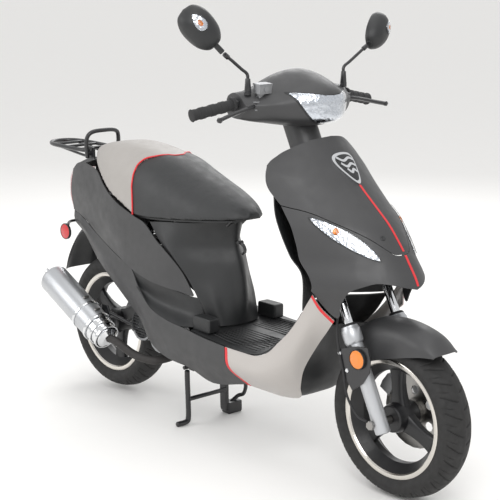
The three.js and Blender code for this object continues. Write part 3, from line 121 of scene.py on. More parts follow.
def build(name: str, points: Array, faces: Sequence, sharp: float = 32.0) -> bpy.types.Object:
    """Make one mesh object, with doubles merged, faces outwards and edges above an angle kept sharp.

    Args:
        name: the piece's name.
        points: vertices in millimetres from the rear axle.
        faces: lists of vertex numbers.
        sharp: edges that bend more than this many degrees stay crisp.
    """
    mesh = bpy.data.meshes.new(name)
    mesh.from_pydata(metres(np.asarray(points).reshape(-1, 3)).tolist(), [],
        [list(map(int, f)) for f in faces])
    work = bmesh.new()
    work.from_mesh(mesh)
    bmesh.ops.remove_doubles(work, verts=work.verts, dist=2e-6)
    bmesh.ops.dissolve_degenerate(work, edges=work.edges, dist=1e-6)
    bmesh.ops.recalc_face_normals(work, faces=work.faces)
    work.to_mesh(mesh)
    work.free()
    mesh.polygons.foreach_set("use_smooth", np.ones(len(mesh.polygons), bool))
    mesh.set_sharp_from_angle(angle=math.radians(sharp))
    piece = bpy.data.objects.new(name, mesh)
    bpy.context.scene.collection.objects.link(piece)
    return piece


def joined(name: str, pieces: Sequence[bpy.types.Object]) -> bpy.types.Object:
    """Join several mesh objects into one of the given name, each keeping its finish."""
    with bpy.context.temp_override(active_object=pieces[0], selected_editable_objects=list(pieces)):
        bpy.ops.object.join()
    pieces[0].name = name
    return pieces[0]


def shell(name: str, grid: Array, inside: Sequence, thickness: float = PANEL,
    lift: float = 0.0) -> bpy.types.Object:
    """A panel of even thickness: each grid point and its copy moved in along the surface normal.

    Args:
        name: the piece's name.
        grid: points of the outer face, rows by columns by 3.
        inside: a point on the hollow side.
        thickness: wall in millimetres.
        lift: how far the outer face stands above the grid.
    """
    normal = unit(np.cross(np.gradient(grid, axis=0), np.gradient(grid, axis=1)))
    if np.sum(normal * (np.array(inside, float) - grid)) > 0:
        normal = -normal
    outer, inner = grid + normal * lift, grid + normal * (lift - thickness)
    rows, columns = grid.shape[:2]
    size = rows * columns
    number = np.arange(size).reshape(rows, columns)
    rim = np.concatenate([number[0, :-1], number[:-1, -1], number[-1, :0:-1], number[:0:-1, 0]])
    after = np.roll(rim, -1)
    sides = np.stack([rim, after, after + size, rim + size], -1)
    faces = [*grid_faces(rows, columns), *(grid_faces(rows, columns, start=size)), *sides]
    return build(name, np.concatenate([outer.reshape(-1, 3), inner.reshape(-1, 3)]), faces)


def closed_loft(name: str, rings: Array, sharp: float = 32.0) -> bpy.types.Object:
    """A solid through closed rings, with the first and last ring closed by a fan to their middle."""
    rings = np.asarray(rings, float)
    count, around = rings.shape[:2]
    ends = np.stack([rings[0].mean(0), rings[-1].mean(0)])
    points = np.concatenate([rings.reshape(-1, 3), ends])
    first = np.arange(around)
    last = first + (count - 1) * around
    fans = [np.stack([first, np.roll(first, -1), np.full(around, count * around)], -1),
            np.stack([last, np.roll(last, -1), np.full(around, count * around + 1)], -1)]
    return build(name, points, [*grid_faces(count, around, wrap=True), *fans[0], *fans[1]], sharp)


def tube(name: str, points: Sequence, radius: float, steps: int = 48, sides: int = 16,
    closed: bool = False) -> bpy.types.Object:
    """A round bar along a smooth path, with domed ends: circles square to the path's direction.

    Args:
        name: the piece's name.
        points: points that the path passes, in millimetres.
        radius: the bar's radius.
        steps: rings along the path.
        sides: points round each ring.
        closed: not used.
    """
    path = smooth_run(np.array(points, float), steps)
    spread = path - path.mean(0)
    flat = np.linalg.svd(spread)[2][-1]
    ahead = unit(np.gradient(path, axis=0))
    side = unit(np.cross(ahead, flat))
    up = np.cross(side, ahead)
    dome = np.array([0.35, 0.8]) * radius
    path = np.concatenate([path[:1] - ahead[:1] * dome[0], path, path[-1:] + ahead[-1:] * dome[0]])
    side, up = (np.concatenate([v[:1], v, v[-1:]]) for v in (side, up))
    size = np.full(len(path), radius)
    size[[0, -1]] = radius * 0.72
    turn = np.linspace(0, 2 * np.pi, sides, endpoint=False)
    circle = np.cos(turn)[None, :, None] * side[:, None] + np.sin(turn)[None, :, None] * up[:, None]
    return closed_loft(name, path[:, None] + circle * size[:, None, None], sharp=60)


def revolve(name: str, profile: Sequence, foot: Sequence, axis: Sequence, sides: int = 40,
    ring: bool = False, sharp: float = 32.0) -> bpy.types.Object:
    """A turned piece: each profile point (distance along the axis, radius) is carried round the axis.

    Args:
        name: the piece's name.
        profile: points along the outline; a ring's outline is closed.
        foot: the point on the axis where the distance is 0.
        axis: the direction of the axis.
        sides: points round the axis.
        ring: whether the outline closes on itself instead of ending on the axis.
        sharp: crease angle in degrees.
    """
    direction = unit(np.array(axis, float))
    helper = np.array([0.0, 0.0, 1.0]) if abs(direction[2]) < 0.9 else np.array([1.0, 0.0, 0.0])
    side = unit(np.cross(direction, helper))
    up = np.cross(direction, side)
    outline = np.array(profile, float)
    turn = np.linspace(0, 2 * np.pi, sides, endpoint=False)
    circle = np.cos(turn)[:, None] * side + np.sin(turn)[:, None] * up
    points = np.array(foot, float) + outline[:, :1, None].transpose(0, 2, 1) * direction + outline[:, 1][:,
        None, None] * circle
    rows = len(outline)
    if not ring:
        return closed_loft(name, points, sharp)
    faces = grid_faces(rows, sides, wrap=True)
    last = np.arange(sides) + (rows - 1) * sides
    first = np.arange(sides)
    seam = np.stack([last, np.roll(last, -1), np.roll(first, -1), first], -1)
    return build(name, points, [*faces, *seam], sharp)


def bar(name: str, start: Sequence, end: Sequence, radius: float, sides: int = 28, edge: float = 1.0,
    end_radius: Optional[float] = None) -> bpy.types.Object:
    """A straight turned bar with small rounded edges, from one point to another."""
    a, b = np.array(start, float), np.array(end, float)
    length = float(np.linalg.norm(b - a))
    far = radius if end_radius is None else end_radius
    profile = [(0, max(radius - edge, 0.1)), (edge * 0.3, radius - edge * 0.3), (edge, radius),
               (length - edge, far), (length - edge * 0.3, far - edge * 0.3),
                   (length, max(far - edge, 0.1))]
    return revolve(name, profile, a, b - a, sides, sharp=50)


def soft_block(name: str, size: Sequence, centre: Sequence, pitch: float = 0.0,
    power: float = 0.16) -> bpy.types.Object:
    """A block with rounded edges: a sphere whose sines and cosines are raised to a small power."""
    lat = np.linspace(-np.pi / 2, np.pi / 2, 25)[1:-1, None]
    lon = np.linspace(0, 2 * np.pi, 48, endpoint=False)[None, :]
    bend = lambda v: np.sign(v) * np.abs(v) ** power
    unit_points = np.stack([bend(np.cos(lat)) * bend(np.cos(lon)), bend(np.cos(lat)) * bend(np.sin(lon)),
                            bend(np.sin(lat)) * np.ones_like(lon)], -1)
    points = unit_points * np.array(size, float) / 2
    c, s = math.cos(pitch), math.sin(pitch)
    turned = points @ np.array([[c, 0, -s], [0, 1, 0], [s, 0, c]])
    return closed_loft(name, turned + np.array(centre, float), sharp=40)


def plate(name: str, outline: Sequence, near: float, far: float, edge: float = 0.8) -> bpy.types.Object:
    """A flat plate with bevelled edges: an outline in x and z between two distances from the middle."""
    flat = np.array(outline, float)
    middle = flat.mean(0)
    inset = middle + (flat - middle) * (1 - edge / np.linalg.norm(flat - middle, axis=1, keepdims=True))
    low, high = min(near, far), max(near, far)
    layer = lambda shape, y: np.stack([shape[:, 0], np.full(len(shape), y), shape[:, 1]], -1)
    rings = np.stack([layer(inset, low), layer(flat, low + edge), layer(flat, high - edge),
        layer(inset, high)])
    return closed_loft(name, rings, sharp=30)


# ---- finishes --------------------------------------------------------------------------------
def linear(colour: str) -> tuple:
    """An sRGB hex colour as linear red, green, blue and alpha."""
    values = [int(colour[i:i + 2], 16) / 255 for i in (1, 3, 5)]
    return (*[v / 12.92 if v <= 0.04045 else ((v + 0.055) / 1.055) ** 2.4 for v in values], 1.0)


def node(tree: bpy.types.NodeTree, kind: str, links: Optional[dict] = None,
    **settings: object) -> bpy.types.Node:
    """Add one shader node, with its settings, input values and links.

    Args:
        tree: the material's node tree.
        kind: the node's type, without its ShaderNode prefix.
        links: input name or number to a value or to another node's output socket.
        settings: attributes of the node.
    """
    made = tree.nodes.new("ShaderNode" + kind)
    for key, value in settings.items():
        setattr(made, key, value)
    for key, value in (links or {}).items():
        if isinstance(value, bpy.types.NodeSocket):
            tree.links.new(value, made.inputs[key])
        else:
            made.inputs[key].default_value = value
    return made


class Texture(Enum):
    """How a surface was made, which gives its fine relief."""

    GRAINED = "grained"
    SMOOTH = "smooth"
    BRUSHED = "brushed"
    CAST = "cast"
    FACETED = "faceted"
    HIDE = "hide"


@dataclass(frozen=True)
class Finish:
    """One real material: its colours, gloss and relief."""

    name: str
    slot: str
    colour: str
    shade: str
    roughness: float
    texture: Texture = Texture.SMOOTH
    metallic: float = 0.0
    pattern_mm: float = 1.2  # spacing of the relief
    relief_mm: float = 0.03  # height of the relief
    coat: float = 0.0
    clear: float = 0.0
    ior: float = 1.5
    cloud_mm: float = 120.0  # size of the slow changes of tone

    def relief(self, tree: bpy.types.NodeTree, place: bpy.types.NodeSocket) -> bpy.types.NodeSocket:
        """The height pattern of this finish, from 0 to 1."""
        scale = 1000.0 / self.pattern_mm
        if self.texture is Texture.HIDE:
            cells = node(tree, "TexVoronoi", {"Vector": place, "Scale": scale}, feature="DISTANCE_TO_EDGE")
            soft = node(tree, "MapRange", {0: cells.outputs[0], 1: 0.0, 2: 0.18, 3: 0.0, 4: 1.0})
            return soft.outputs[0]
        if self.texture is Texture.FACETED:
            cells = node(tree, "TexVoronoi", {"Vector": place, "Scale": scale}, distance="CHEBYCHEV")
            return cells.outputs[0]
        if self.texture is Texture.BRUSHED:
            stretched = node(tree, "Mapping", {"Vector": place, "Scale": (0.04, 1.0, 1.0)})
            lines = node(tree, "TexNoise", {"Vector": stretched.outputs[0], "Scale": scale, "Detail": 3.0})
            return lines.outputs[0]
        grain = node(tree, "TexNoise", {"Vector": place, "Scale": scale, "Detail": 2.0, "Roughness": 0.6})
        return grain.outputs[0]

    def material(self) -> bpy.types.Material:
        """Make the material once, and return it after that."""
        found = bpy.data.materials.get(self.name)
        if found:
            return found
        made = bpy.data.materials.new(self.name)
        made.use_nodes = True
        tree = made.node_tree
        shader = tree.nodes["Principled BSDF"]
        place = node(tree, "TexCoord").outputs["Object"]
        cloud = node(tree, "TexNoise", {"Vector": place, "Scale": 1000.0 / self.cloud_mm, "Detail": 4.0})
        tone = node(tree, "Mix", {0: cloud.outputs[0], 6: linear(self.colour), 7: linear(self.shade)},
            data_type="RGBA")
        tree.links.new(tone.outputs[2], shader.inputs["Base Color"])
        fine = node(tree, "TexNoise", {"Vector": place, "Scale": 4000.0 / self.cloud_mm, "Detail": 5.0})
        gloss = node(tree, "MapRange", {0: fine.outputs[0], 1: 0.3, 2: 0.7, 3: self.roughness * 0.88,
                                        4: min(self.roughness * 1.14, 1.0)})
        tree.links.new(gloss.outputs[0], shader.inputs["Roughness"])
        if self.relief_mm:
            bump = node(tree, "Bump", {"Height": self.relief(tree, place), "Strength": 1.0,
                                       "Distance": self.relief_mm / 1000.0})
            tree.links.new(bump.outputs[0], shader.inputs["Normal"])
        shader.inputs["Metallic"].default_value = self.metallic
        shader.inputs["IOR"].default_value = self.ior
        shader.inputs["Coat Weight"].default_value = self.coat
        shader.inputs["Coat Roughness"].default_value = 0.12
        shader.inputs["Transmission Weight"].default_value = self.clear
        return made


# Moulded ABS with a satin charcoal paint: even, a soft sheen, a very fine orange peel.
CHARCOAL = Finish("satin_charcoal_paint", "charcoal_plastic", "#3b3b3c", "#353536", 0.5, Texture.GRAINED,
    pattern_mm=1.6, relief_mm=0.012, coat=0.08)
# Moulded polypropylene left bare: darker, with a leather-like grain that breaks up the highlights.
BARE_BLACK = Finish("grained_polypropylene", "black_plastic", "#252627", "#1f2021", 0.46, Texture.GRAINED,
    pattern_mm=1.4, relief_mm=0.05)
# Silver-beige lacquer with fine metal flake on the skirt panels.
LIGHT_LACQUER = Finish("light_grey_lacquer", "light_panel", "#b3aeaa", "#aca7a3", 0.36, Texture.GRAINED,
    pattern_mm=0.9, relief_mm=0.008, coat=0.4)
# Powder coat on steel tube: black, slightly glossy, faint dimples.
POWDER_BLACK = Finish("black_powder_coat", "black_paint", "#1d1d1f", "#242426", 0.32, Texture.GRAINED,
    pattern_mm=1.8, relief_mm=0.02, coat=0.25)
# Cast aluminium painted black, for the wheels.
WHEEL_BLACK = Finish("wheel_black_paint", "black_paint", "#19191b", "#131315", 0.4, Texture.CAST,
    pattern_mm=2.2, relief_mm=0.03, coat=0.1)
# Die-cast aluminium, blasted: light grey with a rough skin.
CAST_ALLOY = Finish("cast_aluminium", "bare_alloy", "#a9aaac", "#8f9092", 0.5, Texture.CAST, 0.9,
    pattern_mm=1.5, relief_mm=0.08, cloud_mm=60)
# Aluminium lacquered silver on the fork sliders.
SILVER_LACQUER = Finish("silver_lacquered_alloy", "bare_alloy", "#c3c5c8", "#b6b8bb", 0.36, Texture.CAST,
    0.65, pattern_mm=1.2, relief_mm=0.012, coat=0.3)
# Turned lip of the wheel rim: bright, with circular tool marks.
TURNED_ALLOY = Finish("turned_aluminium", "bare_alloy", "#d9d5cf", "#cbc7c0", 0.2, Texture.BRUSHED, 1.0,
    pattern_mm=0.8, relief_mm=0.006)
# Muffler sleeve of brushed aluminium.
BRUSHED_SLEEVE = Finish("brushed_aluminium_sleeve", "steel", "#c4c6c9", "#b5b7ba", 0.34, Texture.BRUSHED,
    0.85, pattern_mm=1.0, relief_mm=0.012)
# Stainless brake disc and bolts.
STEEL = Finish("ground_stainless_steel", "steel", "#a8a6a3", "#8d8b88", 0.3, Texture.BRUSHED, 1.0,
    pattern_mm=0.7, relief_mm=0.01)
# Exhaust header in heat-proof matt black paint.
HEAT_BLACK = Finish("heat_resistant_black", "steel", "#2b2a2a", "#383533", 0.62, Texture.CAST, 0.2,
    pattern_mm=1.4, relief_mm=0.06, cloud_mm=40)
# Hard chrome.
CHROME = Finish("hard_chrome", "chrome", "#e2e3e5", "#d6d8da", 0.07, Texture.SMOOTH, 1.0, relief_mm=0.0)
# Moulded nitrile rubber grips.
GRIP_RUBBER = Finish("grip_rubber", "rubber", "#232324", "#2a2a2b", 0.72, Texture.GRAINED, pattern_mm=1.1,
    relief_mm=0.06)
# Tyre rubber: matt black with a dusty bloom.
TYRE_RUBBER = Finish("tyre_rubber", "tyre", "#1f1f20", "#282726", 0.74, Texture.GRAINED, pattern_mm=1.3,
    relief_mm=0.05, cloud_mm=70)
# Seat cover of grained PVC, dark.
SEAT_BLACK = Finish("black_seat_vinyl", "vinyl", "#2f3031", "#2a2b2c", 0.5, Texture.HIDE, pattern_mm=2.4,
    relief_mm=0.05)
# Seat cover of grained PVC, light grey.
SEAT_GREY = Finish("grey_seat_vinyl", "vinyl", "#a5a19d", "#9c9894", 0.5, Texture.HIDE, pattern_mm=2.4,
    relief_mm=0.045)
# Red vinyl tape and piping.
RED_TRIM = Finish("red_trim", "red_plastic", "#d8282f", "#cc2028", 0.42, Texture.SMOOTH, relief_mm=0.0,
    coat=0.2)
# Red reflector with prism pattern.
RED_LENS = Finish("red_prism_acrylic", "red_plastic", "#d3161c", "#a50d13", 0.16, Texture.FACETED,
    pattern_mm=4.0, relief_mm=0.5, coat=0.8)
# Smoked clear cover of the tail light.
TAIL_LENS = Finish("pale_red_acrylic", "red_plastic", "#c9a3a4", "#b8474c", 0.12, Texture.FACETED,
    pattern_mm=9.0, relief_mm=0.7, coat=1.0)
# Amber reflector with prism pattern.
AMBER_LENS = Finish("amber_prism_acrylic", "amber_reflector", "#ee8d1c", "#d97210", 0.14, Texture.FACETED,
    pattern_mm=4.0, relief_mm=0.5, coat=0.8)
# Clear polycarbonate lamp covers.
CLEAR_LENS = Finish("clear_polycarbonate", "clear_lens", "#ffffff", "#fafcff", 0.03, Texture.SMOOTH,
    relief_mm=0.0, clear=1.0, ior=1.45)
# Aluminised reflector bowl with facets.
LAMP_BOWL = Finish("aluminised_reflector", "clear_lens", "#dfe2e6", "#b9bdc4", 0.12, Texture.FACETED, 1.0,
    pattern_mm=11.0, relief_mm=2.2, cloud_mm=22)
# Mirror glass.
MIRROR_GLASS = Finish("silvered_glass", "mirror_glass", "#e9edf0", "#e9edf0", 0.02, Texture.SMOOTH, 1.0,
    relief_mm=0.0)

FINISH_OF_NODE = {
    "main_frame": POWDER_BLACK, "fork_bridge": POWDER_BLACK, "handlebar": POWDER_BLACK,
        "kick_lever": POWDER_BLACK,
    "shock_body": POWDER_BLACK, "seat_base": BARE_BLACK, "brake_lever_left": POWDER_BLACK,
        "brake_lever_right": POWDER_BLACK,
    "engine_unit": CAST_ALLOY, "brake_master_cylinder": CAST_ALLOY, "brake_caliper": CAST_ALLOY,
        "front_axle": STEEL,
    "shock_rod": CHROME, "shock_spring": CHROME, "starter_button": RED_TRIM, "horn_button": BARE_BLACK,
    "bag_hook": POWDER_BLACK, "front_rim": WHEEL_BLACK, "rear_rim": WHEEL_BLACK, "brake_disc": STEEL,
    "indicator_lens_right": CLEAR_LENS, "indicator_lens_left": CLEAR_LENS,
}


def dress(piece: bpy.types.Object, finish: Finish, body: str,
    replaced: Sequence[str] = ()) -> bpy.types.Object:
    """Give a piece its finish, its body and the CAD nodes it stands for.

    Args:
        piece: the finished object.
        finish: its material.
        body: the name of the body it moves with.
        replaced: names of the CAD nodes that it replaces.
    """
    if not piece.data.materials:
        piece.data.materials.append(finish.material())
    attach(piece, body)
    if replaced:
        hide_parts(*replaced)
    LOG.info("%s on %s: %d faces", piece.name, body, len(piece.data.polygons))
    return piece


def tinted(piece: bpy.types.Object, finish: Finish) -> bpy.types.Object:
    """Give a piece its material before it is joined to others."""
    piece.data.materials.append(finish.material())
    return piece


# ---- body panels -----------------------------------------------------------------------------
@dataclass
class Shields:
    """The two front shields with their badge, stripe and indicators: x = c(z) - k(z) * y * y."""

    centre: tuple = ((1338, 480), (1334, 520), (1318, 590), (1307, 616), (1258, 688), (1206, 750),
        (1105, 836), (1037, 900), (979, 972))
    sweep: tuple = ((.0098, 480), (.0086, 520), (.0058, 580), (.0057, 620), (.0061, 655), (.0055, 700),
        (.005, 740), (.0047, 790), (.0043, 835), (.0039, 880), (.0041, 915), (.006, 972))
    top: tuple = ((0, 970), (32, 967), (62, 961), (90, 951), (115, 940), (135, 930), (152, 919), (166, 909),
        (178, 897))
    shoulder: tuple = ((0, 905), (32, 904), (66, 901), (96, 896), (122, 890), (145, 884), (164, 879),
        (179, 874), (191, 870))
    middle: tuple = ((0, 800), (32, 803), (68, 812), (100, 818), (128, 824), (150, 829), (170, 833),
        (185, 836), (196, 838))
    seam: tuple = ((0, 680), (32, 685), (70, 721), (100, 744), (125, 762), (145, 778), (162, 787),
        (177, 792), (190, 797))
    cheek: tuple = ((0, 655), (33, 658), (78, 688), (110, 702), (135, 708), (155, 712), (168, 714),
        (181, 724), (192, 745))
    nose: tuple = ((0, 622), (33, 628), (85, 648), (118, 655), (143, 650), (157, 630), (165, 606),
        (182, 640), (191, 672))
    lip: tuple = ((0, 592), (33, 600), (88, 612), (121, 601), (143, 583), (145, 552), (140, 505),
        (165, 541), (190, 580))
    inside: tuple = (900, 0, 760)

    def sheet(self, y: Array, z: Array) -> Array:
        """Points of the swept sheet at the given distances from the middle and heights."""
        centre, sweep = np.array(self.centre, float), np.array(self.sweep, float)
        kernel = np.linspace(-14, 14, 9)
        smooth = lambda table: np.mean([np.interp(z + k, table[:, 1], table[:, 0]) for k in kernel], axis=0)
        return np.stack([smooth(centre) - smooth(sweep) * y * y, y, z], -1)

    def panel(self, name: str, rows: Sequence) -> bpy.types.Object:
        """A panel between rows of (distance, height), spread smoothly over both sides."""
        half = smooth_run(np.array(rows, float), 40)
        run = smooth_run(half.transpose(1, 0, 2), 60).transpose(1, 0, 2)
        full = np.concatenate([run[:, :0:-1] * np.array([-1.0, 1.0]), run], axis=1)
        return shell(name, self.sheet(full[..., 0], full[..., 1]), self.inside)

    def patch(self, name: str, outline: Array, lift: float, thickness: float,
        crown: float = 0.0) -> bpy.types.Object:
        """A disc-like patch that lies on the sheet: its outline is shrunk in steps to its middle."""
        middle = outline.mean(0)
        steps = np.sin(np.linspace(0.02, np.pi / 2, 16))[:, None, None]
        flat = middle + (outline - middle)[None] * steps
        points = self.sheet(flat[..., 0], flat[..., 1])
        points[..., 0] += crown * (1 - steps[..., 0] ** 2)
        normal = np.array([0.62, -0.5 * np.sign(middle[0]) * -1.0 if abs(middle[0]) > 1 else 0.0, 0.45])
        normal /= np.linalg.norm(normal)
        top, low = points + normal * lift, points[::-1] + normal * (lift - thickness)
        return closed_loft(name, np.concatenate([top, low]), sharp=50)

    def stripe(self, name: str, line: Sequence, width: float, lift: float = 0.7) -> bpy.types.Object:
        """A thin strip of tape of even width along a line of (distance, height) on the sheet."""
        path = smooth_run(np.array(line, float), 60)
        across = np.linspace(-width / 2, width / 2, 5)
        ahead = unit(np.gradient(path, axis=0))
        side = np.stack([ahead[:, 1], -ahead[:, 0]], -1)
        flat = path[:, None] + side[:, None] * across[None, :, None]
        return shell(name, self.sheet(flat[..., 0], flat[..., 1]), self.inside, thickness=lift + 0.4,
            lift=lift)

    def leaf(self, side: float, grow: float) -> Array:
        """The indicator's leaf outline, as distances from the middle and heights."""
        turn = np.linspace(0, 2 * np.pi, 72, endpoint=False)
        out, inner = np.array([158.0, 768.0]), np.array([70.0, 668.0])
        axis = (inner - out) / np.linalg.norm(inner - out)
        square = np.array([axis[1], -axis[0]])
        half = np.linalg.norm(inner - out) / 2 + grow
        wide = 17.5 + grow
        flat = (out + inner) / 2 + np.cos(turn)[:,
            None] * axis * half + (np.sin(turn) * np.abs(np.sin(turn)) ** 0.35)[:, None] * square * wide
        return flat * np.array([side, 1.0])

    def make(self) -> None:
        """Build and dress every piece of the front."""
        under = tuple((y, z - 2.5) for y, z in self.seam)
        dress(self.panel("upper_shield_skin", (self.top, self.shoulder, self.middle, self.seam)), CHARCOAL,
            "chassis", ["front_shield_upper"])
        dress(self.panel("lower_shield_skin", (under, self.cheek, self.nose, self.lip)), CHARCOAL,
            "chassis", ["front_shield_lower"])
        dress(self.stripe("centre_stripe_upper", ((3, 846), (4, 800), (5, 740), (5, 686)), 7.5), RED_TRIM,
            "chassis")
        dress(self.stripe("centre_stripe_lower", ((5, 677), (5, 650), (5, 625), (5, 600)), 8.5), RED_TRIM,
            "chassis")
        for hand, side in (("right", -1.0), ("left", 1.0)):
            dress(self.patch(f"indicator_bezel_{hand}", self.leaf(side, 3.5), 0.9, 2.0), BARE_BLACK,
                "chassis")
            dress(self.patch(f"indicator_bowl_{hand}", self.leaf(side, -1.0), 1.7, 2.0), LAMP_BOWL,
                "chassis")
            dress(self.patch(f"indicator_cover_{hand}", self.leaf(side, 0.5), 5.5, 1.6, crown=2.0),
                CLEAR_LENS, "chassis", [f"indicator_lens_{hand}"])
            spot = self.sheet(np.array(side * 128.0), np.array(738.0))
            bulb = revolve(f"indicator_bulb_{hand}", [(0, 9), (3, 10), (5, 8.5), (6.2, 5), (6.6, 1)], spot,
                (0.75, 0.5 * side, 0.4), 24)
            dress(bulb, AMBER_LENS, "chassis")
        tip = np.linspace(0, 2 * np.pi, 60, endpoint=False)
        drop = np.stack([44 * np.cos(tip) * (1 + 0.42 * np.sin(tip)) / 1.2,
            890 + 39 * np.sin(tip) + 4 * np.cos(2 * tip)], -1)
        dress(self.patch("badge_frame", drop, 6.0, 7.0, crown=3.0), CHROME, "chassis")
        dress(self.patch("badge_field", (drop - [0, 890]) * 0.82 + [0, 890], 8.2, 4.0, crown=3.6),
            BARE_BLACK, "chassis")
        for k, (level, reach) in enumerate(((904, 27), (889, 23), (875, 14))):
            line = ((-reach, level + 6), (-reach * 0.4, level - 3), (reach * 0.4, level + 3),
                (reach, level - 4))
            rib = self.stripe(f"badge_wave_{k}", line, 6.0, lift=11.5)
            dress(rib, CHROME, "chassis")
        spot = self.sheet(np.array(-38.0), np.array(722.0))
        dress(revolve("shield_screw", [(-1, 7.5), (0.9, 7.5), (1.6, 6.0), (1.2, 3.0), (0.6, 1.0)], spot,
            (0.72, -0.3, 0.6), 24), BARE_BLACK, "chassis")


@dataclass
class Panels:
    """Leg shield, floor, skirts and rear body: smooth sheets through rows of points."""

    leg: tuple = (
        ((836, 0, 905), (842, -55, 905), (866, -105, 900), (892, -150, 890), (903, -172, 878)),
        ((862, 0, 830), (868, -55, 830), (895, -110, 835), (930, -160, 838), (944, -184, 838)),
        ((888, 0, 750), (898, -55, 748), (930, -115, 750), (958, -168, 755), (966, -192, 758)),
        ((912, 0, 672), (926, -55, 668), (968, -112, 665), (1004, -165, 664), (1016, -188, 664)),
        ((938, 0, 592), (956, -55, 590), (1002, -105, 592), (1044, -155, 606), (1060, -182, 612)),
        ((964, 0, 512), (982, -55, 512), (1020, -105, 512), (1048, -150, 512), (1058, -176, 513)))
    floor: tuple = (
        ((962, 0, 506), (984, -60, 506), (1026, -120, 506), (1052, -171, 507)),
            ((938, 0, 432), (952, -60, 434), (984, -120, 438), (1004, -172, 442)),
        ((902, 0, 376), (908, -60, 378), (926, -120, 384), (942, -170, 388)),
            ((860, 0, 350), (860, -60, 350), (862, -120, 348), (864, -169, 345)),
        ((740, 0, 350), (740, -60, 350), (740, -120, 347), (740, -172, 342)),
            ((570, 0, 352), (570, -60, 352), (570, -120, 352), (570, -166, 354)))
    trim: tuple = (
        ((742, -180, 341), (800, -180, 341), (870, -177, 342), (922, -176, 364), (963, -177, 400),
            (1010, -181, 442), (1055, -185, 494), (1084, -188, 534), (1110, -190, 569)),
        ((754, -179, 283), (815, -178, 280), (882, -174, 280), (940, -168, 300), (985, -165, 340),
            (1022, -166, 388), (1062, -168, 442), (1094, -168, 488), (1122, -168, 531)),
        ((796, -137, 230), (850, -112, 218), (905, -96, 212), (962, -84, 221), (981, -102, 262),
            (1010, -117, 325), (1062, -120, 402), (1106, -130, 451), (1145, -140, 494)))
    belly: tuple = (
        ((1014, 0, 432), (1022, -50, 432), (1042, -104, 426)),
            ((1000, 0, 345), (1002, -50, 345), (1004, -106, 340)),
                ((992, 0, 270), (988, -50, 268), (976, -94, 266)),
        ((950, 0, 217), (948, -50, 217), (944, -77, 220)),
            ((860, 0, 212), (860, -50, 212), (860, -86, 214)),
                ((780, 0, 214), (780, -50, 214), (780, -96, 218)))
    lower: tuple = (
        ((-198, -45, 597), (-125, -66, 588), (5, -98, 551), (95, -120, 528), (175, -136, 507),
            (250, -146, 487), (296, -156, 440), (370, -166, 385), (460, -170, 362), (545, -173, 355),
                (635, -176, 346), (737, -179, 341)),
        ((-193, -50, 578), (-118, -72, 560), (8, -106, 510), (95, -126, 478), (178, -140, 447),
            (245, -148, 420), (300, -156, 380), (368, -166, 325), (455, -172, 300), (545, -175, 290),
                (640, -178, 280), (750, -178, 283)),
        ((-188, -50, 560), (-108, -68, 532), (8, -100, 470), (91, -116, 430), (176, -128, 388),
            (235, -136, 358), (297, -144, 323), (345, -148, 268), (430, -150, 234), (545, -148, 224),
                (640, -133, 196), (791, -137, 230)))
    footwell: tuple = (
        ((262, -147, 484), (330, -147, 470), (400, -143, 459), (460, -136, 450), (512, -120, 440),
            (540, -108, 437)),
        ((276, -149, 442), (340, -140, 414), (410, -134, 398), (480, -128, 390), (528, -121, 386),
            (560, -101, 385)),
        ((300, -157, 434), (370, -164, 384), (460, -168, 361), (515, -168, 356), (552, -140, 355),
            (578, -91, 355)))
    upper: tuple = (
        ((-196, -48, 742), (-150, -60, 768), (-88, -74, 776), (8, -98, 764), (60, -114, 732),
            (123, -131, 702), (189, -142, 679), (276, -150, 657), (328, -150, 642), (385, -151, 599),
                (440, -148, 563), (488, -131, 511), (527, -118, 445)),
        ((-205, -52, 672), (-150, -68, 682), (-80, -86, 680), (8, -106, 655), (70, -122, 632),
            (130, -136, 610), (200, -147, 588), (278, -153, 570), (335, -154, 555), (385, -153, 535),
                (430, -147, 512), (475, -133, 480), (525, -119, 443)),
        ((-200, -46, 600), (-125, -67, 591), (-60, -82, 574), (5, -99, 554), (95, -121, 531),
            (175, -137, 510), (225, -147, 497), (285, -154, 480), (350, -155, 466), (395, -152, 460),
                (440, -146, 455), (485, -133, 449), (523, -120, 441)))
    deck: tuple = (((-192, -49, 741), (-206, 0, 748), (-192, 49, 741)),
        ((-150, -61, 767), (-152, 0, 781), (-150, 61, 767)),
            ((-92, -74, 775), (-92, 0, 786), (-92, 74, 775)))
    post: tuple = (
        ((338, -137, 648), (395, -131, 655), (455, -119, 660), (508, -98, 664), (545, -68, 668),
            (580, -36, 671), (604, 0, 673)),
        ((398, -143, 594), (425, -142, 595), (462, -124, 596), (500, -95, 597), (532, -66, 598),
            (566, -34, 599), (594, 0, 600)),
        ((453, -139, 552), (470, -136, 548), (500, -116, 545), (530, -92, 543), (560, -64, 542),
            (592, -34, 541), (616, 0, 541)),
        ((500, -124, 500), (512, -120, 494), (532, -106, 490), (556, -86, 487), (580, -62, 485),
            (607, -32, 484), (630, 0, 484)),
        ((536, -111, 439), (544, -110, 436), (562, -100, 431), (582, -84, 427), (597, -60, 424),
            (618, -32, 422), (636, 0, 421)),
        ((566, -92, 357), (578, -90, 357), (592, -86, 357), (606, -76, 357), (616, -56, 357),
            (624, -30, 357), (628, 0, 357)))

    def edge_line(self, grid: Array, where: float, name: str, inside: Sequence) -> bpy.types.Object:
        """A strip of red tape along one end of a sheet."""
        columns = grid.shape[1]
        spot = int(where * (columns - 1))
        low, high = max(spot - 2, 0), min(spot + 3, columns)
        return shell(name, grid[:, low:high], inside, thickness=1.0, lift=0.7)

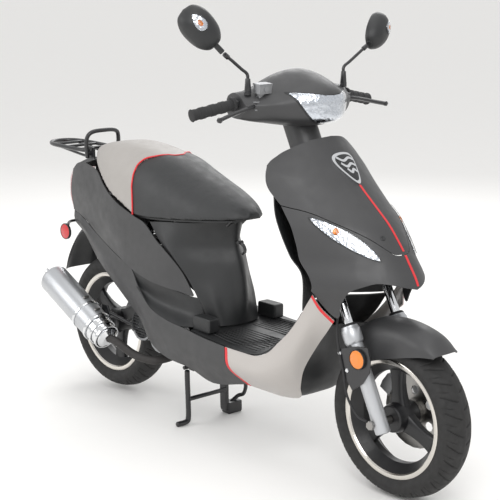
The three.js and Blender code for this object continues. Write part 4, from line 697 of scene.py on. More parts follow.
    def pair(self, name: str, rows: Sequence, size: tuple, inside: Sequence, finish: Finish,
        replaced: Sequence[str] = ()) -> Array:
        """Build one sheet on each side; returns the right-hand grid."""
        grid = sheet_grid(rows, *size)
        for hand, points, hollow in (("right", grid, inside), ("left", flipped(grid), flipped(inside))):
            dress(shell(f"{name}_{hand}", points, hollow), finish, "chassis",
                [f"{node_name}_{hand}" for node_name in replaced])
        return grid

    def make(self) -> None:
        """Build and dress the panels from front to rear."""
        dress(shell("leg_shield_skin", sheet_grid(both_sides(self.leg), 60, 60), (1100, 0, 700)),
            BARE_BLACK, "chassis", ["leg_shield_inner"])
        dress(shell("floor_skin", sheet_grid(both_sides(self.floor), 70, 50), (800, 0, 200), thickness=5),
            BARE_BLACK, "chassis", ["floorboard"])
        for side in (-1, 1):
            dress(soft_block(f"footrest_{'right' if side < 0 else 'left'}", (80, 42, 46),
                (602, 133 * side, 374), power=0.22), BARE_BLACK, "chassis")
            for k in range(9):
                run = ((640, (24 + 14 * k) * side, 351),
                    (740, (24 + 15.5 * k) * side, 350.5 - 0.05 * k * k),
                        (846, (24 + 15.5 * k) * side, 351 - 0.05 * k * k))
                dress(tube(f"floor_rib_{'right' if side < 0 else 'left'}_{k}", run, 1.6, 24, 8),
                    GRIP_RUBBER, "chassis")
        skirt = self.pair("skirt", self.trim, (30, 90), (900, 0, 400), LIGHT_LACQUER, ["side_trim"])
        for hand, grid, hollow in (("right", skirt, (900, 0, 400)),
            ("left", flipped(skirt), (900, 0, 400))):
            for where, word in ((0.0, "rear"), (1.0, "front")):
                dress(self.edge_line(grid, where, f"skirt_line_{word}_{hand}", hollow), RED_TRIM, "chassis")
            side = -1 if hand == "right" else 1
            dress(revolve(f"skirt_screw_{hand}", [(-1, 9), (0.8, 9), (1.4, 7.5), (0.6, 5), (0.5, 1)],
                (800, 179.2 * side, 300), (0, side, 0.05), 24), BARE_BLACK, "chassis")
        dress(shell("belly_skin", sheet_grid(both_sides(self.belly), 60, 40), (880, 0, 350)), BARE_BLACK,
            "chassis", ["belly_pan"])
        self.pair("side_body", self.lower, (26, 110), (300, 0, 400), CHARCOAL, ["body_lower"])
        self.pair("footwell_wall", self.footwell, (24, 44), (400, 0, 300), BARE_BLACK)
        tail = [shell(f"tail_side_{k}", g, (200, 0, 600)) for k,
            g in enumerate((sheet_grid(self.upper, 30, 110), flipped(sheet_grid(self.upper, 30, 110))))]
        tail.append(shell("tail_top", sheet_grid(self.deck, 20, 24), (0, 0, 600)))
        for piece in tail:
            tinted(piece, CHARCOAL)
        dress(joined("tail_skin", tail), CHARCOAL, "chassis", ["tail_cowl"])
        post = sheet_grid(both_sides([row[::-1] for row in self.post]), 60, 90)
        dress(shell("seat_post_skin", post, (400, 0, 520)), BARE_BLACK, "chassis", ["seat_post_cover"])


# ---- seat ------------------------------------------------------------------------------------
@dataclass
class Seat:
    """The long seat: foam under vinyl, grey behind a piped seam and black in front of it."""

    stations: tuple = (
        (-72, 30, 803, 822, .62), (-50, 58, 796, 839, .66), (0, 91, 777, 853, .7), (60, 114, 741, 863, .7),
            (120, 130, 710, 867, .7),
        (190, 140, 686, 861, .72), (265, 149, 662, 851, .76), (330, 149, 661, 840, .8),
            (400, 142, 665, 816, .84), (470, 133, 671, 791, .88),
        (540, 117, 677, 766, .9), (600, 92, 682, 742, .9), (645, 62, 685, 722, .9), (676, 24, 688, 706, .9))
    most_move_mm: float = 3.5
    shrink: float = 0.985

    def ring(self, station: Array, around: int, grow: float = 0.0) -> Array:
        """Cross-sections: y = -w cos a |cos a|^(n-1), z = edge + (crown - edge) |sin a|^n."""
        x, width, edge, crown, shoulder = (station[..., k:k + 1] for k in range(5))
        a = np.linspace(0, np.pi, around)[None, :]
        y = -np.sign(np.cos(a)) * (width + grow) * np.abs(np.cos(a)) ** (shoulder - 0.06)
        z = edge + (crown + grow - edge) * np.abs(np.sin(a)) ** shoulder
        return np.stack([np.broadcast_to(x, y.shape), y, z], -1)

    def seam_x(self, y: Array) -> Array:
        """The seam's place: furthest forward on the crown, back at the shoulders, forward at the edge."""
        return np.interp(np.abs(y), [0, 23, 29, 70, 92, 114, 131, 142, 149],
            [322, 318, 307, 282, 261, 250, 249, 254, 266])

    def cushion(self) -> bpy.types.Object:
        """A closed cushion, with a short cloth run that shifts its cover by about half a millimetre."""
        rings = self.ring(smooth_run(np.array(self.stations, float), 90), 61)
        middle = rings.mean((0, 1))
        start = middle + (rings - middle) * self.shrink
        piece = closed_loft("seat_cover", start, sharp=50)
        remesh = piece.modifiers.new("even", "REMESH")
        remesh.mode, remesh.voxel_size = "VOXEL", 0.005
        with bpy.context.temp_override(object=piece, active_object=piece):
            bpy.ops.object.modifier_apply(modifier="even")
        before = np.zeros(len(piece.data.vertices) * 3)
        piece.data.vertices.foreach_get("co", before)
        cloth = piece.modifiers.new("cover", "CLOTH")
        cloth.settings.use_pressure = True
        cloth.settings.uniform_pressure_force = 4
        cloth.settings.effector_weights.gravity = 0
        pinned = piece.vertex_groups.new(name="edge")
        low = before.reshape(-1, 3)
        edge = np.interp(low[:, 0] * 1000 + MIDDLE_X, [s[0] for s in self.stations],
            [s[2] for s in self.stations]) / 1000
        pinned.add(np.nonzero(low[:, 2] < edge + 0.008)[0].tolist(), 1.0, "REPLACE")
        cloth.settings.vertex_group_mass = "edge"
        for step in range(1, 13):
            bpy.context.scene.frame_set(step)
        blown = piece.evaluated_get(bpy.context.evaluated_depsgraph_get()).to_mesh()
        after = np.zeros(len(before))
        blown.vertices.foreach_get("co", after)
        piece.modifiers.clear()
        move = after.reshape(-1, 3) - low
        length = np.linalg.norm(move, axis=1, keepdims=True)
        cap = self.most_move_mm / 1000
        final = low + move * np.minimum(1.0, cap / np.maximum(length, 1e-9))
        piece.data.vertices.foreach_set("co", final.ravel())
        bpy.context.scene.frame_set(1)
        piece.data.update()
        piece.data.polygons.foreach_set("use_smooth", np.ones(len(piece.data.polygons), bool))
        return piece

    def colour(self, piece: bpy.types.Object) -> None:
        """Grey vinyl behind the seam and black in front of it, face by face."""
        for finish in (SEAT_BLACK, SEAT_GREY):
            piece.data.materials.append(finish.material())
        centres = np.zeros(len(piece.data.polygons) * 3)
        piece.data.polygons.foreach_get("center", centres)
        centres = centres.reshape(-1, 3) * 1000
        behind = centres[:, 0] + MIDDLE_X < self.seam_x(centres[:, 1])
        piece.data.polygons.foreach_set("material_index", behind.astype(np.int32))

    def make(self) -> None:
        """Build the cover and its piping."""
        cover = self.cushion()
        self.colour(cover)
        dress(cover, SEAT_BLACK, "seat", ["seat_cushion"])
        stations = np.array(self.stations, float)
        a = np.linspace(0.0, np.pi, 90)
        guess = np.full(len(a), 280.0)
        for _ in range(12):
            columns = np.stack([np.interp(guess, stations[:, 0], stations[:, k]) for k in range(5)], -1)
            y = -np.sign(np.cos(a)) * columns[:, 1] * np.abs(np.cos(a)) ** (columns[:, 4] - 0.06)
            guess = self.seam_x(y)
        z = columns[:, 2] + (columns[:, 3] - columns[:, 2]) * np.abs(np.sin(a)) ** columns[:, 4]
        line = np.stack([guess, y, z + 0.6], -1)
        dress(tube("seat_piping", line, 2.6, 120, 10), RED_TRIM, "seat")


# ---- wheels ----------------------------------------------------------------------------------
@dataclass
class Wheel:
    """A tyre with cut grooves on a cast rim: both are outlines carried round the axle."""

    end: str
    axle: tuple
    body: str
    spoke_turn: float
    tyre_radius: float = 227.0
    groove_pitches: int = 30
    groove_mm: float = 3.2

    def tyre(self) -> bpy.types.Object:
        """The tyre: radius = outline minus the depth of slanted, curved grooves on both halves."""
        outline = smooth_run(np.array([(166, 40), (176, 49), (190, 54), (206, 48.5), (217, 35), (224, 18),
            (227, 0)], float), 28)
        outer = np.concatenate([outline, outline[-2::-1] * np.array([1, -1])])
        inner = np.array([(154, -37), (154, -30), (184, -44), (214, -24), (214, 24), (184, 44), (154, 30),
            (154, 37)], float)
        profile = np.concatenate([outer, inner])
        turn = np.linspace(0, 2 * np.pi, 1080, endpoint=False)[:, None]
        radius, y = profile[None, :, 0], profile[None, :, 1]
        pitch = 2 * np.pi / self.groove_pitches
        reach = np.abs(y)
        slant = (reach / 46.0) ** 1.6 * 0.55 * pitch + np.where(y > 0, 0.5 * pitch, 0)
        near = ((turn - slant + pitch / 2) % pitch - pitch / 2) * self.tyre_radius
        fine = ((turn - slant * 0.6 + 0.95 * pitch) % pitch - pitch / 2) * self.tyre_radius
        wide = np.exp(-(near / 2.1) ** 4) * (reach > 7) * (reach < 49)
        short = np.exp(-(fine / 1.6) ** 4) * (reach > 26) * (reach < 50)
        depth = self.groove_mm * np.maximum(wide, short * 0.7) * (radius > 186)
        r = radius - depth
        points = np.stack([self.axle[0] + r * np.cos(turn), self.axle[1] + np.broadcast_to(y, r.shape),
            self.axle[2] + r * np.sin(turn)], -1)
        rows, columns = points.shape[:2]
        number = np.arange(rows * columns).reshape(rows, columns)
        ahead, over = np.roll(number, -1, 0), np.roll(number, -1, 1)
        faces = np.stack([number, over, np.roll(ahead, -1, 1), ahead], -1).reshape(-1, 4)
        return build(f"{self.end}_tyre_tread", points, faces, sharp=45)

    def spoke(self, number: int) -> bpy.types.Object:
        """One broad spoke: superellipse sections from the hub out to the rim."""
        t = np.linspace(0, 1, 24)[:, None]
        a = np.linspace(0, 2 * np.pi, 40, endpoint=False)[None, :]
        power = lambda v: np.sign(v) * np.abs(v) ** 0.55
        width = 30 - 34 * t + 32 * t * t
        height = 19 - 16 * t + 8 * t * t
        points = np.stack([width * power(np.cos(a)), height * power(np.sin(a)),
            np.broadcast_to(30 + 106 * t, (24, 40))], -1)
        turn = self.spoke_turn + 2 * np.pi * number / 3
        c, s = math.cos(turn), math.sin(turn)
        turned = points @ np.array([[c, 0, -s], [0, 1, 0], [s, 0, c]])
        return closed_loft(f"spoke_{number}", turned + np.array(self.axle), sharp=60)

    def make(self) -> None:
        """Build and dress the wheel."""
        dress(self.tyre(), TYRE_RUBBER, self.body, [f"{self.end}_tyre"])
        half = [(44, 165.5), (41, 165.5), (37.5, 154), (16, 139)]
        inside = [(-10, 130.5), (-44, 158)]
        profile = [(y, r) for y, r in half] + [(-y, r) for y, r in reversed(half)] + [(y, r) for y,
            r in reversed(inside)] + [(-y, r) for y, r in inside]
        parts = [revolve("rim_ring", profile, self.axle, (0, 1, 0), 120, ring=True)]
        parts += [self.spoke(k) for k in range(3)]
        hub = [(-43, 12), (-43, 34), (-40, 38), (-24, 42), (24, 42), (40, 38), (43, 34), (43, 12)]
        parts.append(revolve("hub", hub, self.axle, (0, 1, 0), 64))
        for part in parts:
            tinted(part, WHEEL_BLACK)
        dress(joined(f"{self.end}_rim_casting", parts), WHEEL_BLACK, self.body, [f"{self.end}_rim"])
        for hand, side in (("right", -1.0), ("left", 1.0)):
            lip = [(40.5, 153), (44.6, 156.5), (45.6, 163), (45.6, 166), (44.2, 168.5), (41.0, 168.5),
                (41.0, 164), (39.5, 155)]
            ring = revolve(f"{self.end}_rim_lip_{hand}", [(y * side, r) for y, r in lip], self.axle,
                (0, 1, 0), 140, ring=True)
            dress(ring, TURNED_ALLOY, self.body)


# ---- fork ------------------------------------------------------------------------------------
@dataclass
class Fork:
    """Telescopic fork, fender, brake bracket plates and reflectors."""

    rake: float = math.radians(26.4)
    spacing: float = 95.0
    fender: tuple = (
        ((1432, 0, 442), (1429, -24, 441), (1424, -42, 438), (1419, -50, 433)),
            ((1388, 0, 480), (1386, -30, 474), (1380, -54, 456), (1374, -61, 428)),
        ((1322, 0, 499), (1321, -32, 492), (1318, -58, 466), (1314, -65, 414)),
            ((1252, 0, 502), (1252, -34, 495), (1252, -60, 466), (1252, -66, 396)),
        ((1186, 0, 490), (1187, -34, 484), (1190, -60, 452), (1196, -66, 378)),
            ((1126, 0, 452), (1129, -34, 446), (1136, -60, 418), (1148, -65, 362)),
        ((1084, 0, 392), (1088, -34, 388), (1098, -58, 366), (1112, -64, 335)))

    def point(self, z: float, y: float = 0.0) -> tuple:
        """A point of the fork line at a height."""
        return (1283 - (z - 227) * math.tan(self.rake), y, z)

    def leg(self, hand: str, side: float) -> None:
        """One leg: chrome tube in an alloy slider with its seal collar."""
        y = self.spacing * side
        foot, up = np.array(self.point(203, y)), (-math.sin(self.rake), 0, math.cos(self.rake))
        run = lambda z: (z - 203) / math.cos(self.rake)
        profile = [(0, 12), (2, 19), (6, 21.5), (run(430), 21.5), (run(434), 25), (run(438), 27),
            (run(466), 27), (run(470), 24.5), (run(476), 23), (run(476.5), 14.2)]
        dress(revolve(f"slider_{hand}", profile, foot, up, 48), SILVER_LACQUER, "fork_lower",
            [f"fork_slider_{hand}"])
        dress(bar(f"stanchion_{hand}", self.point(340, y), self.point(645, y), 13.5, 40), CHROME,
            "steering", [f"fork_tube_{hand}"])
        dress(revolve(f"dust_seal_{hand}", [(0, 13.8), (0, 22), (5, 22), (9, 17), (9, 13.8)],
            self.point(474.5, y), up, 40, ring=True), GRIP_RUBBER, "fork_lower")
        dress(revolve(f"axle_nut_{hand}", [(0, 13), (7, 13), (9, 10), (9, 1)], (1270, 117 * side, 227),
            (0, side, 0), 6), STEEL, "fork_lower")

    def plate_and_reflector(self, hand: str, side: float) -> None:
        """Black plate on the slider with its round amber reflector and two screws."""
        outline = ((1150, 416), (1215, 436), (1252, 440), (1264, 404), (1262, 372), (1238, 336),
            (1200, 308), (1176, 334), (1150, 378))
        pieces = [plate("wall", outline, 118 * side, 121.5 * side)]
        pieces += [bar(f"spacer_{z}", (self.point(z)[0], 116.6 * side, z),
            (self.point(z)[0], 119 * side, z), 8) for z in (352, 424)]
        for piece in pieces:
            tinted(piece, POWDER_BLACK)
        dress(joined(f"reflector_plate_{hand}", pieces), POWDER_BLACK, "fork_lower",
            [f"front_reflector_{hand}"])
        x, z = 1220, 401
        dress(revolve(f"reflector_cup_{hand}", [(0, 28), (5, 28.5), (7.6, 28), (8, 26), (6, 25.4),
            (0.5, 25)], (x, 121.4 * side, z), (0, side, 0), 56), BARE_BLACK, "fork_lower")
        dress(revolve(f"reflector_face_{hand}", [(0.6, 25.2), (6.4, 25.2), (7.2, 23), (7.4, 0.6)],
            (x, 121.4 * side, z), (0, side, 0), 56), AMBER_LENS, "fork_lower")
        for k, (sx, sz) in enumerate(((1152, 404), (1181, 361))):
            dress(revolve(f"plate_screw_{hand}_{k}", [(0, 6.5), (3, 6.5), (4.6, 4.6), (5, 0.8)],
                (sx, 121.4 * side, sz), (0, side, 0), 6), CHROME, "fork_lower")

    def make(self) -> None:
        """Build and dress the fork's pieces."""
        for hand, side in (("right", -1.0), ("left", 1.0)):
            self.leg(hand, side)
            self.plate_and_reflector(hand, side)
        arch = shell("fender_arch", sheet_grid(both_sides(self.fender), 80, 60), (1270, 0, 227),
            thickness=3.5)
        dress(arch, CHARCOAL, "fork_lower", ["front_fender"])
        cable = ((1138, -118, 520), (1140, -123, 460), (1152, -123.5, 404), (1168, -123.5, 352),
            (1184, -124, 290), (1220, -122, 244), (1258, -124, 236))
        dress(tube("speedometer_cable", cable, 3.6, 60, 12), GRIP_RUBBER, "fork_lower")


# ---- headset ---------------------------------------------------------------------------------
@dataclass
class Headset:
    """Handlebar cover, headlight, grips and mirrors."""

    stations: tuple = ((206, (776, 858, 1018, 1089, .5)), (170, (772, 892, 1010, 1095, .5)),
        (125, (762, 922, 1003, 1108, .45)),
                       (80, (752, 958, 996, 1128, .4)), (40, (746, 984, 991, 1142, .36)),
                           (0, (744, 992, 989, 1147, .34)))
    lamp: tuple = ((0, 1002), (34, 1006), (62, 1022), (84, 1052), (98, 1078), (102, 1090), (70, 1090),
        (34, 1086), (0, 1084))
    grip_in: tuple = (822, -216, 1059)
    grip_out: tuple = (793, -346, 1034)

    def section(self, y: float, size: tuple) -> list:
        """Ten points round the cover at one distance from the middle."""
        back, front, low, top, nose = size
        deep, tall = front - back, top - low
        flat = ((back, low + tall * .55), (back + deep * .1, low + tall * .85), (back + deep * .38, top),
            (back + deep * .68, top - tall * .1),
                (front - 8, low + tall * .66), (front, low + tall * nose), (front - 14, low + tall * .14),
                    (back + deep * .62, low),
                (back + deep * .25, low + 4), (back + deep * .05, low + tall * .22))
        return [(x, y, z) for x, z in flat]

    def cover_points(self, steps: int = 90, around: int = 80, shrink: float = 0.0) -> Array:
        """The cover's surface: sections joined smoothly across and round."""
        half = [self.section(y, (b + shrink, f - shrink, lo + shrink, hi - shrink, n)) for y,
            (b, f, lo, hi, n) in self.stations]
        rings = np.array(half + [[(x, -y, z) for x, y, z in ring] for ring in half[-2::-1]], float)
        across = smooth_run(rings, steps)
        looped = np.concatenate([across, across[:, :2]], axis=1).transpose(1, 0, 2)
        return smooth_run(looped, around * (looped.shape[0] - 1) // 10 + 1).transpose(1, 0, 2)

    def nose_x(self, y: Array, z: Array) -> Array:
        """The cover's front at a distance and a height, read off its surface."""
        points = self.cover_points(181, 160).reshape(-1, 3)
        front = points[points[:, 0] > 850]
        flat = np.stack([y, z], -1).reshape(-1, 2)
        gap = ((front[None, :, 1:] - flat[:, None]) ** 2).sum(-1)
        nearest = np.argsort(gap, axis=1)[:, :3]
        return front[nearest, 0].mean(1).reshape(np.shape(y))

    def lamp_patch(self, name: str, grow: float, lift: float, thickness: float) -> bpy.types.Object:
        """A layer of the headlight, following the cover's front."""
        half = smooth_run(np.array(self.lamp, float), 44)
        outline = np.concatenate([half, half[-2:0:-1] * np.array([-1.0, 1.0])])
        middle = np.array([0.0, 1050.0])
        steps = np.linspace(0.03, 1, 12)[:, None, None]
        flat = middle + (outline - middle)[None] * steps * (1 + grow)
        x = self.nose_x(flat[..., 0], flat[..., 1])
        top = np.stack([x + lift, flat[..., 0], flat[..., 1]], -1)
        low = top[::-1] - np.array([thickness, 0, 0])
        return closed_loft(name, np.concatenate([top, low]), sharp=60)

    def grip(self, hand: str, side: float) -> None:
        """A grip with moulded rings: radius = base + small waves along its length."""
        a, b = np.array(self.grip_in, float), np.array(self.grip_out, float)
        if side > 0:
            a, b = flipped(a), flipped(b)
        length = float(np.linalg.norm(b - a))
        t = np.linspace(0.06, 0.97, 120)
        wave = 16.0 + 0.7 * np.sign(np.sin(t * length / 5.0)) * (np.abs(t - 0.5) < 0.4)
        profile = [(0, 12), (0, 20), (2, 21), (8, 21), (9.5, 17),
            *zip((t * length).tolist(), wave.tolist()), (length * 0.985, 18), (length, 17),
                (length * 1.01, 12)]
        body, replaced = ("throttle", "throttle_grip") if side < 0 else ("steering", "left_grip")
        dress(revolve(f"grip_sleeve_{hand}", profile, a, b - a, 48, sharp=50), GRIP_RUBBER, body,
            [replaced])

    def mirror(self, hand: str, side: float, roll: float, reach: float) -> None:
        """Stem, bulged head, glass and the small indicator of one mirror."""
        toe = math.radians(25)
        out, front = np.array([-math.sin(toe), side * math.cos(toe), 0]), np.array([math.cos(toe),
            side * math.sin(toe), 0])
        up = np.array([0, 0, 1.0])
        long, wide = out * math.cos(roll) + up * math.sin(roll), up * math.cos(roll) - out * math.sin(roll)
        centre = np.array([852, 288 * side, 1206.0]) + long * reach
        half = smooth_run(np.array([(-64, 0), (-60, 20), (-38, 37), (-6, 44), (28, 42), (54, 27), (62, 0)],
            float), 30)
        outline = np.concatenate([half, half[-2:0:-1] * np.array([1.0, -1.0])])
        layer = lambda scale, depth: centre + outline[:, :1] * scale * long + outline[:,
            1:] * scale * wide + front * depth
        steps = smooth_run(np.array([(0.95, -12), (1.0, -11), (1.045, 0), (0.93, 18), (0.62, 33), (0.2, 39),
            (0.02, 40)], float), 30)
        hull = closed_loft(f"mirror_shell_{hand}", np.array([layer(0.9, -9), layer(0.93, -12),
            *[layer(s, d) for s, d in steps]]), sharp=45)
        end = centre - long * 32
        socket = bar("socket", (852.6, 286 * side, 1205.6), end, 8, 24)
        for piece in (hull, socket):
            tinted(piece, BARE_BLACK)
        dress(joined(f"mirror_shell_{hand}", [hull, socket]), BARE_BLACK, f"head_{hand}",
            [f"mirror_head_{hand}"])
        dress(closed_loft(f"mirror_pane_{hand}", np.array([layer(0.9, -12.6), layer(0.915, -12.2),
            layer(0.915, -9.5)]), sharp=40), MIRROR_GLASS, f"head_{hand}", [f"mirror_glass_{hand}"])
        spot = centre + long * 16 + wide * 4
        turn = np.linspace(0, 2 * np.pi, 48, endpoint=False)
        drop = np.stack([25 * np.cos(turn) + 3, 15 * np.sin(turn) * (1 - 0.35 * np.cos(turn))], -1)
        reach_of = lambda u, v: np.sqrt(((u + 16) / 62) ** 2 + ((v + 4) / 41) ** 2)
        bump = lambda u, v: np.interp(reach_of(u, v), [0, 0.2, 0.62, 0.93, 1.05], [40, 39, 33, 18, 0])
        def pad(name: str, scale: float, lift: float, thick: float, finish: Finish) -> None:
            """A layer of the mirror's indicator, laid on the shell's bulge."""
            steps_in = np.linspace(0.04, 1, 8)[:, None, None]
            flat = drop[None] * steps_in * scale
            depth = bump(flat[..., 0], flat[..., 1]) + lift
            top = spot + flat[..., :1] * long + flat[..., 1:] * wide + depth[..., None] * front
            low = top[::-1] - front * thick
            dress(closed_loft(f"{name}_{hand}", np.concatenate([top, low]), sharp=50), finish,
                f"head_{hand}")
        pad("mirror_lamp_rim", 1.12, 1.0, 6, BARE_BLACK)
        pad("mirror_lamp_bowl", 1.0, 1.8, 4, LAMP_BOWL)
        pad("mirror_lamp_cover", 1.03, 4.2, 1.2, CLEAR_LENS)
        pad("mirror_lamp_bulb", 0.4, 3.0, 3, AMBER_LENS)
        route = ((846, 188 * side, 1122), (845, 190 * side, 1142), (847, 214 * side, 1158),
            (850, 250 * side, 1182), (851.6, 277 * side, 1199))
        stem = [tube("stem", route, 4.6, 60, 16), bar("nut", (846, 188 * side, 1084),
            (846, 188 * side, 1098), 10, 6),
                bar("boot", (846, 188 * side, 1096), (846, 188 * side, 1130), 9.5, 28, end_radius=7),
                    bar("collar", (850.5, 264 * side, 1190.5), (851.7, 278 * side, 1200), 7, 24)]
        for piece in stem:
            tinted(piece, POWDER_BLACK)
        dress(joined(f"mirror_arm_{hand}", stem), POWDER_BLACK, f"stem_{hand}", [f"mirror_stem_{hand}"])

    def make(self) -> None:
        """Build and dress the headset."""
        points = self.cover_points()
        columns = points.shape[1]
        start = columns // 10
        body = points[:, : columns - start]
        neck_axis = (-math.sin(math.radians(26.4)), 0, math.cos(math.radians(26.4)))
        foot = (1283 - (922 - 227) * math.tan(math.radians(26.4)) - 44.66, 0, 922)
        hull = closed_loft("cover", body, sharp=40)
        neck = revolve("neck", [(0, 43.5), (0, 46), (1.2, 47), (88, 47), (88, 43.5)], foot, neck_axis, 72,
            ring=True)
        for piece in (hull, neck):
            tinted(piece, CHARCOAL)
        dress(joined("headset_cover", [hull, neck]), CHARCOAL, "steering",
            ["handlebar_cover_front", "handlebar_cover_rear"])
        dress(self.lamp_patch("headlight_surround", 0.05, 0.6, 3), BARE_BLACK, "steering")
        dress(self.lamp_patch("headlight_bowl", -0.02, 1.6, 3), LAMP_BOWL, "steering")
        dress(self.lamp_patch("headlight_cover", 0.0, 5.0, 1.6), CLEAR_LENS, "steering", ["headlight_lens"])
        for hand, side, roll, reach in (("right", -1.0, math.radians(47), 90),
            ("left", 1.0, math.radians(30), 67.2)):
            self.grip(hand, side)
            self.mirror(hand, side, roll, reach)


# ---- rear ------------------------------------------------------------------------------------
@dataclass
class Rear:
    """Rack, lights, mudguard, stand and exhaust."""

    rack_z: float = 815.0

    def rack(self) -> None:
        """The rack of bent steel tube."""
        z = self.rack_z
        half = [(-348, 0, z + 3), (-334, -38, z + 3), (-290, -62, z + 2), (-200, -66, z + 1),
            (-124, -60, z), (-92, -40, z)]
        loop = [*[(x, -y, h) for x, y, h in reversed(half[1:])], *half]
        parts = [tube("loop", loop, 7, 110, 16)]
        arch = [(-92, -62, z - 22), (-90, -66, 850), (-84, -50, 876), (-82, 0, 881), (-84, 50, 876),
            (-90, 66, 850), (-92, 62, z - 22)]
        parts.append(tube("arch", arch, 7, 90, 16))
        parts += [bar(f"cross_{x}", (x, -64, z + 1), (x, 64, z + 1), 5) for x in (-290, -215, -135)]
        for side in (-1, 1):
            parts.append(plate(f"foot_{side}", ((-122, 789), (-70, 789), (-72, 826), (-104, 830)),
                44 * side, 50 * side))
            parts.append(bar(f"pin_{side}", (-92, 46 * side, 806), (-92, 64 * side, 806), 7))
            parts.append(tube(f"strut_{side}", ((-318, 48 * side, z), (-225, 48 * side, 805),
                (-132, 47 * side, 795), (-100, 47 * side, 797)), 4.6, 30, 12))
        for part in parts:
            tinted(part, POWDER_BLACK)
        dress(joined("rack_tubes", parts), POWDER_BLACK, "chassis", ["rear_rack"])

    def lights(self) -> None:
        """Tail light, side reflectors and the mudguard behind the wheel."""
        rows = (((-198, -45, 738), (-222, -26, 742), (-230, 0, 744)),
            ((-208, -49, 700), (-238, -30, 704), (-248, 0, 705)),
                ((-209, -50, 650), (-240, -31, 650), (-251, 0, 650)),
                    ((-203, -44, 606), (-230, -27, 604), (-240, 0, 604)))
        grid = sheet_grid(both_sides([row[::-1] for row in rows]), 40, 50)
        dress(shell("tail_lens", grid, (0, 0, 660), thickness=5), TAIL_LENS, "chassis", ["tail_light"])
        guard = (((110, 0, 548), (110, -36, 546), (110, -56, 534)),
            ((-20, 0, 568), (-20, -38, 565), (-20, -60, 548)),
                ((-120, 0, 566), (-120, -36, 562), (-118, -56, 541)),
                 ((-186, 0, 520), (-184, -38, 516), (-176, -58, 500)),
                     ((-222, 0, 452), (-220, -42, 450), (-210, -64, 440)),
                         ((-242, 0, 388), (-240, -43, 388), (-230, -64, 388)))
        dress(shell("mudguard_skin", sheet_grid(both_sides(guard), 60, 40), (0, 0, 241), thickness=3),
            BARE_BLACK, "chassis", ["rear_mudguard"])
        path = ((-176, -98, 538), (-190, -80, 548), (-214, -52, 556), (-217, 0, 556), (-214, 52, 556),
            (-190, 80, 548), (-176, 98, 538))
        dress(tube("reflector_bar", path, 5, 70, 12), POWDER_BLACK, "chassis", ["rear_reflectors"])
        for hand, side in (("right", -1), ("left", 1)):
            spot = (-172, 96 * side, 534)
            dress(revolve(f"side_reflector_cup_{hand}",
                [(0, 24), (1, 27), (8, 27.5), (10, 26), (9.4, 24.6), (1, 24)], spot, (0, side, 0), 56),
                    BARE_BLACK, "chassis")
            dress(revolve(f"side_reflector_face_{hand}", [(2, 24.8), (8.6, 24.8), (9.6, 22), (9.8, 0.6)],
                spot, (0, side, 0), 56), RED_LENS, "chassis")

    def exhaust(self) -> None:
        """Header pipe, muffler sleeve with its clamps and tail pipe."""
        rear, front = np.array([-134, -180, 389.0]), np.array([165, -180, 244.0])
        axis, length = front - rear, float(np.linalg.norm(front - rear))
        can = [(-0.05 * length, 16), (-0.045 * length, 34), (-0.02 * length, 44), (0, 49), (4, 50),
            (0.82 * length, 50), (0.83 * length, 49)]
        dress(revolve("muffler_sleeve", can, rear, axis, 80), BRUSHED_SLEEVE, "engine", ["exhaust"])
        cone = [(0.8 * length, 47), (0.86 * length, 47), (0.97 * length, 39), (length, 36),
            (1.03 * length, 22)]
        dress(revolve("muffler_cone", cone, rear, axis, 64), CHROME, "engine")
        dress(revolve("tail_pipe", [(-0.04 * length, 9.4), (-0.04 * length, 12), (-0.128 * length, 12),
            (-0.13 * length, 11), (-0.13 * length, 9.4)], rear, axis, 40, ring=True), CHROME, "engine")
        for k, (t, r) in enumerate(((0.6, 52.6), (0.8, 52.6), (0.88, 47.5), (0.955, 43.5))):
            clamp = [(t * length, r - 3), (t * length, r), (t * length + 2, r + 0.5),
                (t * length + 9, r + 0.5), (t * length + 11, r), (t * length + 11, r - 3)]
            dress(revolve(f"muffler_clamp_{k}", clamp, rear, axis, 72, ring=True), CHROME, "engine")
            side = rear + axis * (t + 0.018) + np.array([0, 0, r + 6])
            dress(bar(f"clamp_bolt_{k}", side + [0, -10, 0], side + [0, 10, 0], 4.5, 6), STEEL, "engine")
        pipe = (tuple(rear + axis * 0.99), (205, -174, 240), (262, -150, 206), (330, -130, 197),
            (356, -98, 201), (358, -66, 205), (355, -46, 215))
        dress(tube("header_pipe", pipe, 13.5, 90, 24), HEAT_BLACK, "engine")
        dress(plate("muffler_bracket", ((60, 300), (96, 284), (110, 300), (96, 330), (64, 330)), -128,
            -122), POWDER_BLACK, "engine")
        dress(tube("muffler_stay", ((84, -125, 310), (120, -118, 300), (184, -98, 281), (210, -86, 276)), 6,
            30, 12), POWDER_BLACK, "engine")

    def fan_cover(self) -> None:
        """Slotted cooling cover on the right of the engine."""
        spot = np.array([270, -116.5, 300.0])
        dress(revolve("fan_rim", [(0, 44.5), (0, 52), (3, 53.5), (5, 52), (5, 44.5)], spot, (0, -1, 0), 64,
            ring=True), BARE_BLACK, "engine")
        for k in range(-4, 5):
            half = math.sqrt(46 ** 2 - (k * 9.5) ** 2)
            slat = soft_block(f"fan_slat_{k + 4}", (2 * half, 5, 4.5), (270, -119, 300 + k * 9.5),
                power=0.3)
            dress(slat, BARE_BLACK, "engine")
        dress(revolve("fan_boss", [(0, 13), (6, 13), (8, 10), (8, 1)], spot, (0, -1, 0), 32), BARE_BLACK,
            "engine")

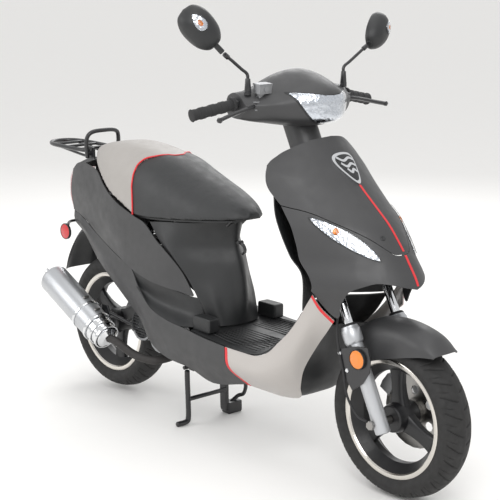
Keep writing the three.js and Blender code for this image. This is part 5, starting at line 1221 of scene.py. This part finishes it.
    def stand(self) -> None:
        """Centre stand of steel tube with flat feet."""
        parts = [bar("shaft", (436, -84, 186), (436, 84, 186), 6),
            tube("leg", ((442, -75, 176), (443, -75, 140), (445, -74, 80), (446, -74, 26), (446, -82, 11),
                (444, -117, 9)), 8.5, 60, 16),
                 bar("cross", (452, -74, 86), (452, 78, 86), 7),
                     tube("tang", ((446, 104, 34), (452, 130, 52), (470, 138, 62), (488, 132, 90),
                         (494, 124, 112)), 6.5, 50, 14),
                 soft_block("left_leg", (30, 14, 150), (441, 81, 88), -0.03, 0.2),
                     soft_block("foot", (36, 60, 39), (444, 112, 19.6), power=0.2)]
        for part in parts:
            tinted(part, POWDER_BLACK)
        dress(joined("stand_tubes", parts), POWDER_BLACK, "stand", ["centre_stand"])

    def make(self) -> None:
        """Build and dress the rear."""
        self.rack()
        self.lights()
        self.exhaust()
        self.fan_cover()
        self.stand()


# ---- scene -----------------------------------------------------------------------------------
@dataclass
class Studio:
    """Camera, soft lights and a pale floor."""

    yaw: float = math.radians(47.8037)
    pitch: float = math.radians(12.3347)
    roll: float = math.radians(0.295)
    place: tuple = (3646.5, -2715.7, 1474.3)
    lens: float = 98.9

    def camera(self) -> None:
        """The camera: looks along its forward direction with its up turned by the roll."""
        forward = Vector((-math.sin(self.yaw) * math.cos(self.pitch),
            math.cos(self.yaw) * math.cos(self.pitch), -math.sin(self.pitch)))
        right = forward.cross(Vector((0, 0, 1))).normalized()
        up = right.cross(forward)
        c, s = math.cos(self.roll), math.sin(self.roll)
        right, up = right * c + up * s, up * c - right * s
        data = bpy.data.cameras.new("camera")
        data.lens, data.sensor_width = self.lens, 36.0
        made = bpy.data.objects.new("camera", data)
        basis = Matrix((right, up, -forward)).transposed().to_4x4()
        made.matrix_world = Matrix.Translation(Vector(metres(np.array(self.place)).tolist())) @ basis
        bpy.context.scene.collection.objects.link(made)
        bpy.context.scene.camera = made

    def light(self, name: str, place: tuple, power: float, size: float) -> None:
        """One soft square light that faces the scooter."""
        data = bpy.data.lights.new(name, "AREA")
        data.energy, data.size = power, size
        made = bpy.data.objects.new(name, data)
        made.location = place
        made.rotation_euler = (Vector((0, 0, 0.6)) - Vector(place)).to_track_quat("-Z", "Y").to_euler()
        bpy.context.scene.collection.objects.link(made)

    def make(self) -> None:
        """Build the studio."""
        self.camera()
        self.light("key", (2.6, -2.2, 3.2), 70, 2.2)
        self.light("side", (-1.8, -3.4, 2.2), 42, 2.4)
        self.light("back", (-2.2, 2.8, 2.8), 45, 2.4)
        self.light("top", (0.2, 0.0, 4.2), 25, 3.0)
        bpy.context.scene.view_settings.view_transform = "Standard"
        world = bpy.data.worlds.new("studio")
        bpy.context.scene.world = world
        world.use_nodes = True
        world.node_tree.nodes["Background"].inputs["Color"].default_value = linear("#ffffff")
        world.node_tree.nodes["Background"].inputs["Strength"].default_value = 0.85
        corner = 40.0
        mesh = bpy.data.meshes.new("floor")
        mesh.from_pydata([(-corner, -corner, 0), (corner, -corner, 0), (corner, corner, 0),
            (-corner, corner, 0)], [], [(0, 1, 2, 3)])
        floor = bpy.data.objects.new("floor", mesh)
        bpy.context.scene.collection.objects.link(floor)
        floor.data.materials.append(Finish("matt_floor", "black_plastic", "#f6f5f3", "#f4f3f1", 0.9,
            relief_mm=0.0).material())


def main() -> None:
    """Build the scooter's pieces in order."""
    logging.basicConfig(level=logging.INFO, format="%(name)s: %(message)s")
    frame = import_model()
    for name, finish in FINISH_OF_NODE.items():
        frame["nodes"][name].data.materials.clear()
        frame["nodes"][name].data.materials.append(finish.material())
    Studio().make()
    for assembly in (Shields(), Panels(), Seat(), Wheel("front", (1270, 0, 227), "front_wheel",
        math.radians(-6)),
                     Wheel("rear", (0, 0, 241), "rear_wheel", math.pi / 3), Fork(), Headset(), Rear()):
        assembly.make()


if __name__ == "__main__":
    main()
